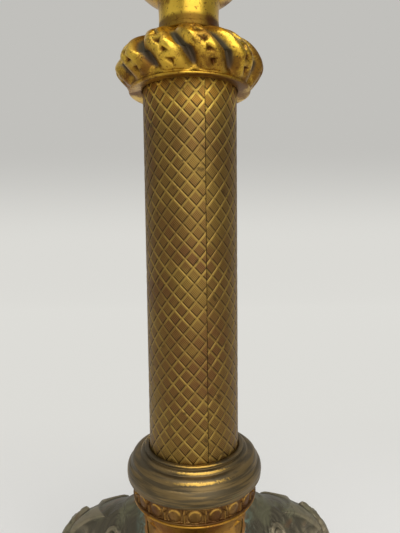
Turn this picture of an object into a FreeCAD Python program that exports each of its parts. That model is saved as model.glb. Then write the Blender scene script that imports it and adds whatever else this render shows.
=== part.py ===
"""Pricket candlestick: cast and turned brass pieces clamped on one iron tie rod.

The stack stands on a three-sided cast base with paw feet. Lengths are millimetres and +Z is up.
The origin is on the axis of the stack, on the plane that the feet stand on, and -Y is the front.
"""
import FreeCAD
import Part
import Sketcher
import math
import os

from FreeCAD import Placement, Rotation, Vector

SIZES = {
    # tie rod, its nuts and its washers
    "rod_radius": 4.0,
    "rod_clearance": 0.4,
    "thread_clearance": 0.05,
    "rod_tail": 4.0,
    "nut_radius": 7.5,
    "nut_height": 6.5,
    "plate_radius": 21.0,
    "plate_thickness": 4.0,
    "washer_radius": 10.0,
    "washer_thickness": 1.6,
    # three-sided base
    "foot_height": 24.0,
    "base_height": 104.0,
    "shoulder_radius": 94.3,
    "face_radius": 48.0,
    "corner_radius": 16.5,
    "base_wall": 3.6,
    "deck_thickness": 6.0,
    "neck_seat_depth": 20.0,
    "arch_radius": 44.0,
    "arch_rise": 13.0,
    "carving_rise": 1.6,
    "leaf_width": 36.0,
    "scroll_radius": 8.0,
    "scroll_band": 2.8,
    # paw feet and their screws
    "ankle_radius": 13.0,
    "paw_reach": 35.0,
    "paw_width": 34.0,
    "toe_width": 9.6,
    "toe_height": 13.0,
    "screw_radius": 2.5,
    "screw_head_radius": 4.5,
    "screw_head_height": 3.2,
    "screw_bite": 11.0,
    "screw_pad_height": 9.0,
    # neck of the base and the egg band above it
    "neck_height": 31.4,
    "neck_foot_radius": 24.9,
    "neck_lip_radius": 31.6,
    "neck_lip_height": 1.5,
    "neck_web": 4.0,
    "seat_clearance": 0.3,
    "bore_radius": 19.0,
    "register_radius": 22.4,
    "register_depth": 3.0,
    "band_height": 9.5,
    "band_radius": 33.4,
    "egg_width": 6.8,
    "egg_depth": 2.2,
    "dart_width": 0.9,
    # collar and sleeve
    "collar_height": 15.6,
    "collar_radius": 34.2,
    "collar_lip": 1.8,
    "socket_depth": 4.0,
    "sleeve_radius": 23.0,
    "sleeve_sheet": 1.0,
    "sleeve_length": 184.5,
    "seam_gap": 0.3,
    "fit_clearance": 0.15,
    # turban knop and spool
    "knop_radius": 36.2,
    "knop_height": 26.5,
    "knop_groove": 5.4,
    "knop_web": 5.0,
    "knop_wall": 3.2,
    "rim_radius": 29.4,
    "rim_height": 1.5,
    "spool_height": 17.0,
    "spool_radius": 15.1,
    "spool_waist": 2.0,
    # cup, drip pan and pricket
    "cup_height": 31.2,
    "cup_foot_radius": 14.8,
    "cup_radius": 29.6,
    "cup_wall": 3.2,
    "cup_floor": 3.7,
    "cup_mouth_radius": 24.4,
    "pan_radius": 49.0,
    "pan_depth": 8.5,
    "pan_floor_radius": 35.0,
    "pan_sheet": 1.4,
    "pan_skirt": 4.0,
    "pan_hole_clearance": 0.6,
    "pricket_foot_radius": 9.0,
    "pricket_foot_height": 3.0,
    "pricket_radius": 6.0,
    "pricket_height": 94.0,
    "pricket_tip_radius": 0.6,
    "pricket_thread": 13.0,
    # one overrun for every cut
    "overrun": 2.0,
}

# counts and angles in degrees; a bearing is measured from the front towards the right
FULL_TURN = 360.0
HALF_TURN = 180.0
FRONT = -90.0
LEGS = {"front": 0.0, "right": 120.0, "left": 240.0}
LOBES = 11
EGGS = 20
NUT_SIDES = 6
SEAM_BEARING = 17.0
LOBE_BEARING = -4.2
LOBE_TWIST = 26.0
TOE_TURNS = (-39.0, -13.0, 13.0, 39.0)

# arcs, as the rise over the chord
QUARTER_SHARE = 0.207
SOFT_SHARE = 0.12
FAINT_SHARE = 0.05

HALF_SHARE = 0.5

doc = FreeCAD.newDocument("pricket_candlestick")
sheet = doc.addObject("Spreadsheet::Sheet", "Sizes")
for row, (alias, number) in enumerate(SIZES.items(), start=1):
    sheet.set(f"A{row}", alias)
    sheet.set(f"B{row}", str(number))
    sheet.setAlias(f"B{row}", alias)
doc.recompute()

pieces = []


class Length:
    """A length that knows its number and the sheet expression that it comes from."""

    def __init__(self, text, value):
        self.text = text
        self.value = value

    def joined(self, sign, other, value):
        """The length that a sum or product with another length or a plain number gives."""
        text = other.text if isinstance(other, Length) else repr(other)
        return Length(f"({self.text} {sign} {text})", value)

    def __add__(self, other):
        return self.joined("+", other, self.value + plain(other))

    def __sub__(self, other):
        return self.joined("-", other, self.value - plain(other))

    def __mul__(self, other):
        return self.joined("*", other, self.value * plain(other))

    def __truediv__(self, other):
        return self.joined("/", other, self.value / plain(other))


def plain(length):
    """The number of a length, or a number as it is."""
    return length.value if isinstance(length, Length) else length


def size(alias):
    """A driving size from the sheet."""
    return Length(f"Sizes.{alias}", float(sheet.get(alias)))


def between(low, high, share):
    """The length that lies the given share of the way from low to high."""
    return low + (high - low) * share


AXIS = Length("0", 0.0)

# levels of the stack, from the floor up
base_foot = size("foot_height")
base_crown = base_foot + size("base_height")
deck = base_crown - size("neck_seat_depth")
deck_underside = deck - size("deck_thickness")
plate_underside = deck_underside - size("plate_thickness")
nut_underside = plate_underside - size("nut_height")
band_foot = deck + size("neck_height")
collar_foot = band_foot + size("band_height")
collar_top = collar_foot + size("collar_height")
sleeve_foot = collar_top - size("socket_depth")
sleeve_top = sleeve_foot + size("sleeve_length")
knop_foot = sleeve_top - size("socket_depth")
knop_top = knop_foot + size("knop_height")
spool_top = knop_top + size("spool_height")
cup_floor = spool_top + size("cup_floor")
cup_top = spool_top + size("cup_height")
top_washer_top = cup_floor + size("washer_thickness")
pricket_foot = top_washer_top + size("nut_height")
rod_foot = nut_underside - size("rod_tail")
rod_top = pricket_foot + size("pricket_thread")

# radii that several pieces share
rod_hole = size("rod_radius") + size("rod_clearance")
thread_hole = size("rod_radius") + size("thread_clearance")
neck_bore = size("neck_foot_radius") + size("seat_clearance")
register_bore = size("register_radius") + size("seat_clearance")
sleeve_socket = size("sleeve_radius") + size("fit_clearance")


def keep(obj, label):
    """Name a finished piece and put it on the list of files to write."""
    obj.Label = label
    pieces.append(obj)
    return obj


def origin_feature(body, role):
    """The body's own origin plane or axis with the given role."""
    return next(item for item in body.Origin.OriginFeatures if item.Role == role)


def arc_centre(start, end, bulge):
    """Centre of the arc that rises by the share bulge of its chord, to the right of the way."""
    reach_share = (1 - 4 * bulge ** 2) / (8 * bulge)
    across = (start[0] + end[0]) / 2 - (end[1] - start[1]) * reach_share
    up = (start[1] + end[1]) / 2 + (end[0] - start[0]) * reach_share
    return across, up


def outline_sketch(body, name, corners):
    """Draw a closed outline in the body's XZ plane, with every corner bound to the sheet.

    A corner is (radius, height), or (radius, height, bulge) where the edge that arrives there is
    an arc. The outline goes round the metal anticlockwise, and a positive bulge swells outwards.
    """
    sketch = body.newObject("Sketcher::SketchObject", name)
    sketch.AttachmentSupport = [(origin_feature(body, "XZ_Plane"), "")]
    sketch.MapMode = "FlatFace"
    edges = []
    for index, corner in enumerate(corners):
        start, end = corners[index - 1][:2], corner[:2]
        start_point = Vector(start[0].value, start[1].value, 0)
        end_point = Vector(end[0].value, end[1].value, 0)
        if len(corner) == 2:
            edge = sketch.addGeometry(Part.LineSegment(start_point, end_point))
            edges.append((edge, 1, 2, None))
            continue
        centre = arc_centre(start, end, corner[2])
        middle = Vector(centre[0].value, centre[1].value, 0)
        circle = Part.Circle(middle, Vector(0, 0, 1), middle.distanceToPoint(start_point))
        first, last = (start_point, end_point) if corner[2] > 0 else (end_point, start_point)
        arc = Part.ArcOfCircle(circle, circle.parameter(first), circle.parameter(last))
        edge = sketch.addGeometry(arc)
        ends = (1, 2) if corner[2] > 0 else (2, 1)
        edges.append((edge, *ends, centre))
    bind_outline(sketch, corners, edges)
    return sketch


def bind(sketch, kind, edge, point, length):
    """Hold one point of a sketch at a length from the sketch's origin."""
    rule = sketch.addConstraint(Sketcher.Constraint(kind, -1, 1, edge, point, length.value))
    sketch.setExpression(f"Constraints[{rule}]", length.text)


def bind_outline(sketch, corners, edges):
    """Join the edges of an outline and hold its corners and arc centres."""
    for index, (edge, first, last, centre) in enumerate(edges):
        before, _, before_last, _ = edges[index - 1]
        sketch.addConstraint(Sketcher.Constraint("Coincident", before, before_last, edge, first))
        radius, height = corners[index][:2]
        if radius is AXIS:
            sketch.addConstraint(Sketcher.Constraint("PointOnObject", edge, last, -2))
        else:
            bind(sketch, "DistanceX", edge, last, radius)
        bind(sketch, "DistanceY", edge, last, height)
        if centre is None:
            continue
        start = corners[index - 1]
        flat = abs(radius.value - start[0].value) > abs(height.value - start[1].value)
        if flat:
            bind(sketch, "DistanceY", edge, 3, centre[1])
        else:
            bind(sketch, "DistanceX", edge, 3, centre[0])


def turned_body(name, corners):
    """A body turned about the axis from an outline, with its revolution."""
    body = doc.addObject("PartDesign::Body", name)
    sketch = outline_sketch(body, f"{name}_outline", corners)
    turning = body.newObject("PartDesign::Revolution", f"{name}_turning")
    turning.Profile = sketch
    turning.ReferenceAxis = (sketch, ["V_Axis"])
    turning.Angle = FULL_TURN
    return body, turning


def turned_piece(label, corners):
    """A finished piece that is turned about the axis from an outline."""
    body, _ = turned_body(label, corners)
    return keep(body, label)


def washer(label, radius, hole, foot, top):
    """A flat ring on the axis."""
    turned_piece(label, [(hole, foot), (radius, foot), (radius, top), (hole, top)])


def primitive(kind, name, place=(AXIS, AXIS, AXIS), **lengths):
    """A Part primitive whose sizes and place are bound to the sheet."""
    obj = doc.addObject(f"Part::{kind}", name)
    for prop, length in lengths.items():
        obj.setExpression(prop, length.text)
    for axis, length in zip("xyz", place):
        obj.setExpression(f"Placement.Base.{axis}", length.text)
    return obj


def cut(name, base, tool):
    """The base less the tool."""
    obj = doc.addObject("Part::Cut", name)
    obj.Base = base
    obj.Tool = tool
    return obj


def fuse(name, shapes):
    """Several shapes joined into one."""
    obj = doc.addObject("Part::MultiFuse", name)
    obj.Shapes = shapes
    return obj


def blank(name, shape):
    """A shape that no single feature makes, as an object of the document."""
    obj = doc.addObject("Part::Feature", name)
    obj.Shape = shape
    return obj


def polar(radius, angle, height):
    """A point given by its distance from the axis, its angle in degrees and its height."""
    turn = math.radians(angle)
    return Vector(radius * math.cos(turn), radius * math.sin(turn), height)


# three-sided base


def three_sided_wire(height, ridge, face, corner):
    """Three rounded corners joined by side arcs that meet them without a break.

    The ridge and the face are the distances from the axis to a corner's tip and to the middle of
    a side, and the corner is the radius of its rounding.
    """
    reach = ridge - corner
    land = face - corner
    side = (land ** 2 - reach ** 2) / (2 * land - reach)
    outward = -1 if side > 0 else 1
    edges = []
    for leg in LEGS.values():
        angle = FRONT + leg
        hub = polar(reach, angle, height)
        joins = []
        for turn in (-HALF_TURN / 3, HALF_TURN / 3):
            centre = polar(side, angle + turn, height)
            away = (hub - centre) * outward
            joins.append(hub + away.normalize() * corner)
        edges.append(Part.Arc(joins[0], polar(ridge, angle, height), joins[1]).toShape())
        next_join = turned_about_axis(joins[0], FULL_TURN / len(LEGS))
        middle = polar(face, angle + HALF_TURN / 3, height)
        edges.append(Part.Arc(joins[1], middle, next_join).toShape())
    return Part.Wire(edges)


def turned_about_axis(point, angle):
    """A point turned about the axis of the stack."""
    return Rotation(Vector(0, 0, 1), angle).multVec(point)


# height over the base's height, ridge from the neck's bore to the shoulder, face and corner
TRIPOD_SHARES = (
    (0.000, 0.880, 1.000, 0.909),
    (0.154, 0.887, 0.917, 0.879),
    (0.346, 0.981, 0.896, 0.940),
    (0.532, 1.000, 0.875, 1.000),
    (0.687, 0.870, 0.813, 0.970),
    (0.770, 0.726, 0.740, 0.879),
    (0.934, 0.281, 0.479, 0.576),
    (1.000, 0.091, 0.354, 0.424),
)

# the same for the hollow: height to the deck, ridge, face and corner inside the wall
HOLLOW_SHARES = (
    (0.000, 0.907, 1.000, 0.870),
    (0.210, 0.907, 0.907, 0.870),
    (0.474, 0.985, 0.884, 0.957),
    (0.710, 0.990, 0.860, 1.000),
    (0.895, 0.885, 0.790, 0.913),
    (1.000, 0.773, 0.700, 0.783),
)


def tripod_loft(rise):
    """The outside of the base, from its lower edge to its crown, grown outwards by the rise."""
    wires = []
    for height, ridge, face, corner in TRIPOD_SHARES:
        wires.append(three_sided_wire(
            between(base_foot, base_crown, height).value,
            between(neck_bore, size("shoulder_radius"), ridge).value + rise.value,
            size("face_radius").value * face + rise.value,
            size("corner_radius").value * corner + rise.value,
        ))
    return Part.makeLoft(wires, True, False)


def hollow_loft():
    """The hollow under the deck, open below."""
    wires = []
    for height, ridge, face, corner in HOLLOW_SHARES:
        level = between(base_foot, deck_underside, height)
        if height == 0:
            level = level - size("overrun")
        wires.append(three_sided_wire(
            level.value,
            (size("shoulder_radius") - size("base_wall")).value * ridge,
            (size("face_radius") - size("base_wall")).value * face,
            (size("corner_radius") - size("base_wall")).value * corner,
        ))
    return Part.makeLoft(wires, True, False)


foot_shares = TRIPOD_SHARES[0]
foot_ridge = between(neck_bore, size("shoulder_radius"), foot_shares[1])
foot_corner = size("corner_radius") * foot_shares[3]
ankle_place = foot_ridge - foot_corner


def at_leg(place, height, leg):
    """Place on a leg's middle line, as lengths along X, Y and Z."""
    angle = math.radians(FRONT + LEGS[leg])
    return place * math.cos(angle), place * math.sin(angle), height


# level of each end of the shoulder leaf over the base's height, and of its widest place between
LEAF_TIP_SHARE = 0.77
LEAF_FOOT_SHARE = 0.20
LEAF_WIDEST_SHARE = 0.52
LEAF_SIDE_SHARE = 0.14

# carving on both flanks of a shoulder: places over the way out from the seat and over the base's
# height. A scroll has its centre and its radius over the scroll radius, a frond its ends and the
# rise of its two edges over the chord
SCROLL_SHARES = (
    (0.25, 0.790, 1.0),
    (0.58, 0.385, 1.5),
)
SCROLL_EYE_SHARE = 0.34
FROND_SHARES = (
    ((0.36, 0.855), (0.80, 0.640), 0.20, 0.09),
    ((0.38, 0.740), (0.78, 0.535), 0.16, 0.05),
    ((0.24, 0.690), (0.56, 0.545), 0.02, -0.10),
)


def shoulder_leaf():
    """A pointed leaf over the front shoulder: its outline, drawn out along the leg."""
    tip = between(base_foot, base_crown, LEAF_TIP_SHARE).value
    foot = between(base_foot, base_crown, LEAF_FOOT_SHARE).value
    widest = between(base_foot, base_crown, LEAF_WIDEST_SHARE).value
    half = size("leaf_width").value / 2
    inner = -size("face_radius").value
    corners = [Vector(x, inner, z) for x, z in ((0, tip), (-half, widest), (0, foot), (half, widest))]
    edges = []
    for index, end in enumerate(corners):
        start = corners[index - 1]
        chord = end - start
        side = Vector(chord.z, 0, -chord.x) * LEAF_SIDE_SHARE
        edges.append(Part.Arc(start, (start + end) / 2 + side, end).toShape())
    outline = Part.Face(Part.Wire(edges))
    return outline.extrude(Vector(0, -size("shoulder_radius").value, 0))


def flank_place(out, level):
    """Place on one side of the front leg, clear of it, from shares of the way out and up."""
    return Vector(
        -size("face_radius").value,
        -between(neck_bore, size("shoulder_radius"), out).value,
        between(base_foot, base_crown, level).value,
    )


def through_leg(face):
    """A face beside the front leg, drawn out through both of its flanks."""
    return face.extrude(Vector(size("face_radius").value * 2, 0, 0))


def disc(centre, radius):
    """A round face beside the front leg."""
    return Part.Face(Part.Wire(Part.Circle(centre, Vector(1, 0, 0), radius).toShape()))


def flank_scroll(out, level, share):
    """A ring and the eye in its middle."""
    centre = flank_place(out, level)
    radius = size("scroll_radius").value * share
    ring = disc(centre, radius).cut(disc(centre, radius - size("scroll_band").value))
    return [through_leg(ring), through_leg(disc(centre, radius * SCROLL_EYE_SHARE))]


def flank_frond(start, end, upper, lower):
    """A crescent between two arcs over one chord."""
    first, last = flank_place(*start), flank_place(*end)
    middle = (first + last) / 2
    chord = last - first
    rise = Vector(0, chord.z, -chord.y)
    edges = [
        Part.Arc(first, middle + rise * upper, last).toShape(),
        Part.Arc(last, middle + rise * lower, first).toShape(),
    ]
    return through_leg(Part.Face(Part.Wire(edges)))


def shoulder_carving():
    """The raised work on the front shoulder: the leaf, and scrolls and fronds on both flanks."""
    forms = [flank_frond(*shares) for shares in FROND_SHARES]
    for shares in SCROLL_SHARES:
        forms.extend(flank_scroll(*shares))
    return tripod_loft(size("carving_rise")).common(shoulder_leaf().multiFuse(forms))


def tripod_base():
    """The hollow casting, with a seat for the neck, a rod hole and three screw pads.

    Each shoulder is carved, and each side is arched between the feet.
    """
    carving = shoulder_carving()
    carvings = []
    for leg, bearing in LEGS.items():
        turned_carving = carving.copy()
        turned_carving.rotate(Vector(0, 0, 0), Vector(0, 0, 1), bearing)
        carvings.append(blank(f"carving_{leg}", turned_carving))
    outside = fuse("base_outside", [blank("base_blank", tripod_loft(AXIS)), *carvings])
    pads = []
    holes = []
    for leg in LEGS:
        pads.append(primitive(
            "Cylinder", f"screw_pad_{leg}",
            at_leg(ankle_place, base_foot - size("overrun"), leg),
            Radius=foot_corner,
            Height=size("screw_pad_height") + size("overrun"),
        ))
        holes.append(primitive(
            "Cylinder", f"screw_hole_{leg}", at_leg(ankle_place, base_foot, leg),
            Radius=size("screw_radius") + size("fit_clearance"),
            Height=size("screw_pad_height") + size("overrun"),
        ))
        arch = primitive(
            "Cylinder", f"arch_{leg}",
            (AXIS, AXIS, base_foot + size("arch_rise") - size("arch_radius")),
            Radius=size("arch_radius"), Height=size("shoulder_radius"),
        )
        across = Rotation(Vector(0, 0, 1), FRONT + LEGS[leg] + HALF_TURN)
        arch.Placement.Rotation = across.multiply(Rotation(Vector(0, 1, 0), HALF_TURN / 2))
        holes.append(arch)
    hollow = cut("base_hollow", blank("base_hollow_blank", hollow_loft()), fuse("screw_pads", pads))
    seat = primitive(
        "Cylinder", "neck_seat", (AXIS, AXIS, deck),
        Radius=neck_bore, Height=size("neck_seat_depth") + size("overrun"),
    )
    rod_way = primitive(
        "Cylinder", "base_rod_hole", (AXIS, AXIS, deck_underside - size("overrun")),
        Radius=rod_hole, Height=size("deck_thickness") + size("overrun") * 2,
    )
    shell = cut("base_shell", outside, hollow)
    keep(cut("tripod_base", shell, fuse("base_holes", [seat, rod_way, *holes])), "tripod_base")


# paw feet

PAD_PLACE_SHARE = 0.34
PAD_LENGTH_SHARE = 0.60
PAD_HEIGHT_SHARE = 0.78
TOE_PLACE_SHARE = 0.40
TOE_LENGTH_SHARE = 0.27
ANKLE_SPREAD_SHARE = 1.2


def paw_foot(leg):
    """A lion's paw with four toes under one corner of the base, flat below."""
    height = size("foot_height")
    reach = size("paw_reach")
    ankle = primitive(
        "Cone", f"ankle_{leg}", (ankle_place, AXIS, AXIS),
        Radius1=size("ankle_radius") * ANKLE_SPREAD_SHARE, Radius2=size("ankle_radius"), Height=height,
    )
    pad_place = ankle_place + reach * PAD_PLACE_SHARE
    pad = primitive(
        "Ellipsoid", f"paw_pad_{leg}", (pad_place, AXIS, AXIS),
        Radius1=height * PAD_HEIGHT_SHARE, Radius2=reach * PAD_LENGTH_SHARE, Radius3=size("paw_width") / 2,
    )
    toes = []
    for index, turn in enumerate(TOE_TURNS):
        spread = reach * TOE_PLACE_SHARE
        across = spread * math.sin(math.radians(turn))
        along = pad_place + spread * math.cos(math.radians(turn))
        toe = primitive(
            "Ellipsoid", f"toe_{leg}_{index}", (along, across, size("toe_height") / 2),
            Radius1=size("toe_height") / 2, Radius2=reach * TOE_LENGTH_SHARE, Radius3=size("toe_width") / 2,
        )
        toe.Placement.Rotation = Rotation(Vector(0, 0, 1), turn)
        toes.append(toe)
    reach_round = (reach + size("paw_width")) * 2
    below = primitive(
        "Box", f"floor_cut_{leg}",
        (ankle_place - reach_round / 2, AXIS - reach_round / 2, AXIS - height),
        Length=reach_round, Width=reach_round, Height=height,
    )
    hole = primitive(
        "Cylinder", f"paw_hole_{leg}", (ankle_place, AXIS, height - size("screw_bite")),
        Radius=size("screw_radius") + size("fit_clearance"), Height=size("screw_bite") + size("overrun"),
    )
    solid = fuse(f"paw_blank_{leg}", [ankle, pad, *toes])
    paw = cut(f"paw_foot_{leg}", solid, fuse(f"paw_cuts_{leg}", [below, hole]))
    paw.Placement = Placement(Vector(0, 0, 0), Rotation(Vector(0, 0, 1), FRONT + LEGS[leg]))
    keep(paw, f"paw_foot_{leg}")


def paw_screws():
    """The three screws that hold the paws, driven from inside the hollow."""
    screws = []
    for leg in LEGS:
        pad_top = base_foot + size("screw_pad_height")
        tip = base_foot - size("screw_bite")
        shank = primitive(
            "Cylinder", f"screw_shank_{leg}", at_leg(ankle_place, tip, leg),
            Radius=size("screw_radius"), Height=size("screw_bite") + size("screw_pad_height"),
        )
        head = primitive(
            "Cylinder", f"screw_head_{leg}", at_leg(ankle_place, pad_top, leg),
            Radius=size("screw_head_radius"), Height=size("screw_head_height"),
        )
        screws.append(fuse(f"screw_{leg}", [shank, head]))
    group = doc.addObject("Part::Compound", "paw_screws")
    group.Links = screws
    keep(group, "paw_screws")


# tie rod and its fasteners

ROD_POINT_SHARE = 0.25


def tie_rod():
    """The iron rod that clamps the whole stack."""
    radius = size("rod_radius")
    point = radius * ROD_POINT_SHARE
    turned_piece("tie_rod", [
        (AXIS, rod_foot),
        (radius - point, rod_foot),
        (radius, rod_foot + point),
        (radius, rod_top - point),
        (radius - point, rod_top),
        (AXIS, rod_top),
    ])


def hex_nut(label, foot):
    """A hexagonal nut on the tie rod."""
    height = size("nut_height")
    prism = primitive(
        "Prism", f"{label}_prism", (AXIS, AXIS, foot), Circumradius=size("nut_radius"), Height=height,
    )
    prism.Polygon = NUT_SIDES
    hole = primitive(
        "Cylinder", f"{label}_hole", (AXIS, AXIS, foot - size("overrun")),
        Radius=thread_hole, Height=height + size("overrun") * 2,
    )
    keep(cut(label, prism, hole), label)


# neck and egg band

LIP_RETURN_SHARE = 0.30


def base_neck():
    """The gilt neck: a spigot in the base, hollow flaring sides and a bright lip."""
    lip_foot = band_foot - size("neck_lip_height")
    lip = size("neck_lip_radius")
    throat = between(lip, size("neck_foot_radius"), LIP_RETURN_SHARE)
    register_top = collar_foot + size("register_depth") - size("seat_clearance")
    turned_piece("base_neck", [
        (rod_hole, deck),
        (size("neck_foot_radius"), deck),
        (size("neck_foot_radius"), base_crown),
        (throat, lip_foot, -FAINT_SHARE),
        (lip, lip_foot),
        (lip, band_foot, QUARTER_SHARE),
        (size("register_radius"), band_foot),
        (size("register_radius"), register_top),
        (size("bore_radius"), register_top),
        (size("bore_radius"), deck + size("neck_web")),
        (rod_hole, deck + size("neck_web")),
    ])


BAND_FILLET_SHARE = 0.10
BAND_HOLLOW_SHARE = 0.06
BAND_FOOT_SHARE = 0.96
EGG_HEIGHT_SHARE = 0.80
DART_HEIGHT_SHARE = 0.74
DART_DEPTH_SHARE = 1.4


def egg_band():
    """A ring of eggs in a hollow moulding, with a dart between each pair."""
    radius = size("band_radius")
    foot_radius = radius * BAND_FOOT_SHARE
    hollow = radius - size("egg_depth")
    low = between(band_foot, collar_foot, BAND_FILLET_SHARE)
    high = between(collar_foot, band_foot, BAND_FILLET_SHARE)
    body = turned_piece("egg_band", [
        (register_bore, band_foot),
        (foot_radius, band_foot),
        (foot_radius, low),
        (hollow * BAND_FOOT_SHARE, low),
        (hollow, high, -BAND_HOLLOW_SHARE),
        (radius, high),
        (radius, collar_foot),
        (register_bore, collar_foot),
    ])
    middle = between(band_foot, collar_foot, HALF_SHARE)
    clear = size("band_height") * (1 - 2 * BAND_FILLET_SHARE)
    egg = body.newObject("PartDesign::AdditiveEllipsoid", "egg")
    dart = body.newObject("PartDesign::AdditiveBox", "dart")
    for feature, turn in ((egg, FRONT), (dart, FRONT + HALF_TURN / EGGS)):
        feature.AttachmentSupport = [(origin_feature(body, "XY_Plane"), "")]
        feature.MapMode = "FlatFace"
        feature.AttachmentOffset = Placement(Vector(0, 0, 0), Rotation(Vector(0, 0, 1), turn))
    egg.setExpression("Radius1", (clear * EGG_HEIGHT_SHARE / 2).text)
    egg.setExpression("Radius2", size("egg_depth").text)
    egg.setExpression("Radius3", (size("egg_width") / 2).text)
    place_feature(egg, FRONT, hollow * BAND_FOOT_SHARE, AXIS, middle)
    dart.setExpression("Length", (size("egg_depth") * DART_DEPTH_SHARE).text)
    dart.setExpression("Width", size("dart_width").text)
    dart.setExpression("Height", (clear * DART_HEIGHT_SHARE).text)
    dart_foot = middle - clear * DART_HEIGHT_SHARE / 2
    place_feature(
        dart, FRONT + HALF_TURN / EGGS, hollow * BAND_FOOT_SHARE - size("dart_width"),
        AXIS - size("dart_width") / 2, dart_foot,
    )
    ring = body.newObject("PartDesign::PolarPattern", "eggs_and_darts")
    ring.Originals = [egg, dart]
    ring.Axis = (origin_feature(body, "Z_Axis"), [""])
    ring.Angle = FULL_TURN
    ring.Occurrences = EGGS
    body.Tip = ring


def place_feature(feature, angle, along, across, height):
    """Hold a feature's own origin at a place given along and across an angle in plan."""
    cosine = math.cos(math.radians(angle))
    sine = math.sin(math.radians(angle))
    feature.setExpression("AttachmentOffset.Base.x", (along * cosine - across * sine).text)
    feature.setExpression("AttachmentOffset.Base.y", (along * sine + across * cosine).text)
    feature.setExpression("AttachmentOffset.Base.z", height.text)


# collar and sleeve

# radius from the lip to the edge and height over the collar, then the bulge of the edge to it
COLLAR_SHARES = (
    (0.94, 0.00, None),
    (1.00, 0.11, QUARTER_SHARE),
    (0.90, 0.49, SOFT_SHARE),
    (0.84, 0.49, None),
    (0.84, 0.55, None),
    (0.80, 0.56, None),
    (0.38, 0.77, QUARTER_SHARE),
    (0.30, 0.77, None),
    (0.14, 0.88, QUARTER_SHARE),
    (0.03, 0.88, None),
    (0.03, 0.93, None),
    (0.08, 0.93, None),
    (0.08, 1.00, None),
)


def lower_collar():
    """Turned mouldings that take the foot of the sleeve in a socket."""
    lip = sleeve_socket + size("collar_lip")
    corners = [(register_bore, collar_foot)]
    for across, up, bulge in COLLAR_SHARES:
        corner = (between(lip, size("collar_radius"), across), between(collar_foot, collar_top, up))
        corners.append(corner if bulge is None else (*corner, bulge))
    register_top = collar_foot + size("register_depth")
    corners += [
        (sleeve_socket, collar_top),
        (sleeve_socket, sleeve_foot),
        (size("bore_radius"), sleeve_foot),
        (size("bore_radius"), register_top),
        (register_bore, register_top),
    ]
    turned_piece("lower_collar", corners)


def shaft_sleeve():
    """The rolled sheet tube, with its open butt seam a little right of the front."""
    radius = size("sleeve_radius")
    inside = radius - size("sleeve_sheet")
    body, turning = turned_body("shaft_sleeve", [
        (inside, sleeve_foot), (radius, sleeve_foot), (radius, sleeve_top), (inside, sleeve_top),
    ])
    gap = size("seam_gap") / radius * math.degrees(1)
    turning.setExpression("Angle", f"{FULL_TURN} - {gap.text}")
    turn = Rotation(Vector(0, 0, 1), FRONT + SEAM_BEARING + gap.value / 2)
    body.Placement = Placement(Vector(0, 0, 0), turn)
    keep(body, "shaft_sleeve")


# turban knop

# height over the knop's height, crest over the knop's radius, depth over the groove's depth
KNOP_SHARES = (
    (0.030, 0.800, 0.20),
    (0.094, 0.855, 0.60),
    (0.226, 0.940, 0.95),
    (0.404, 1.000, 1.00),
    (0.536, 0.970, 1.00),
    (0.672, 0.905, 0.95),
    (0.785, 0.815, 0.80),
    (0.872, 0.695, 0.60),
    (0.940, 0.560, 0.40),
    (0.985, 0.445, 0.20),
)
WIDEST_SHARE = 0.404


def lobed_wire(height, crest, groove, angle):
    """A closed ring of round lobes that meet in sharp grooves."""
    step = FULL_TURN / LOBES
    edges = []
    for lobe in range(LOBES):
        first = angle + lobe * step
        edges.append(Part.Arc(
            polar(groove, first, height),
            polar(crest, first + step / 2, height),
            polar(groove, first + step, height),
        ).toShape())
    return Part.Wire(edges)


def turban_lobes():
    """The twisted lobes: each level is turned a little further than the one above it."""
    wires = []
    for up, crest, depth in KNOP_SHARES:
        radius = size("knop_radius").value * crest
        wires.append(lobed_wire(
            between(knop_foot, knop_top, up).value,
            radius,
            radius - size("knop_groove").value * depth,
            FRONT + LOBE_BEARING + LOBE_TWIST * (WIDEST_SHARE - up),
        ))
    return Part.makeLoft(wires, True, False)


RIM_MOUTH_SHARE = 0.45
RIM_BEVEL_SHARE = 0.6


def turban_knop():
    """The knop: twisted lobes on a plain rim, bored for the sleeve and the rod."""
    rim = size("rim_radius")
    rim_top = knop_foot + size("rim_height")
    seat = size("spool_radius")
    collar_level = between(knop_foot, knop_top, KNOP_SHARES[-1][0])
    core, _ = turned_body("knop_core", [
        (rod_hole, knop_top - size("knop_web")),
        (size("bore_radius"), knop_top - size("knop_web")),
        (size("bore_radius"), sleeve_top),
        (sleeve_socket, sleeve_top),
        (sleeve_socket, knop_foot + size("rim_height") * RIM_MOUTH_SHARE),
        (between(sleeve_socket, rim, RIM_BEVEL_SHARE), knop_foot),
        (rim, knop_foot),
        (rim, rim_top, QUARTER_SHARE),
        (sleeve_socket + size("knop_wall"), rim_top),
        (size("bore_radius") + size("knop_wall"), knop_top - size("knop_web")),
        (seat - size("spool_waist"), collar_level),
        (seat, collar_level),
        (seat, knop_top),
        (rod_hole, knop_top),
    ])
    inside = primitive(
        "Cylinder", "knop_inside", (AXIS, AXIS, knop_foot - size("overrun")),
        Radius=size("bore_radius"), Height=size("knop_height") - size("knop_web") + size("overrun"),
    )
    socket = primitive(
        "Cylinder", "knop_socket", (AXIS, AXIS, knop_foot - size("overrun")),
        Radius=sleeve_socket, Height=size("socket_depth") + size("overrun"),
    )
    rod_way = primitive(
        "Cylinder", "knop_rod_hole", (AXIS, AXIS, knop_foot),
        Radius=rod_hole, Height=size("knop_height") + size("overrun"),
    )
    holes = fuse("knop_holes", [inside, socket, rod_way])
    lobes = cut("knop_lobes", blank("knop_blank", turban_lobes()), holes)
    keep(fuse("turban_knop", [core, lobes]), "turban_knop")


# spool, cup, drip pan and pricket

SPOOL_FILLET_SHARE = 0.15
SPOOL_TOP_SHARE = 0.99
SPOOL_HOLLOW_SHARE = 0.03
SPOOL_STEP_SHARE = 0.10


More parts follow.
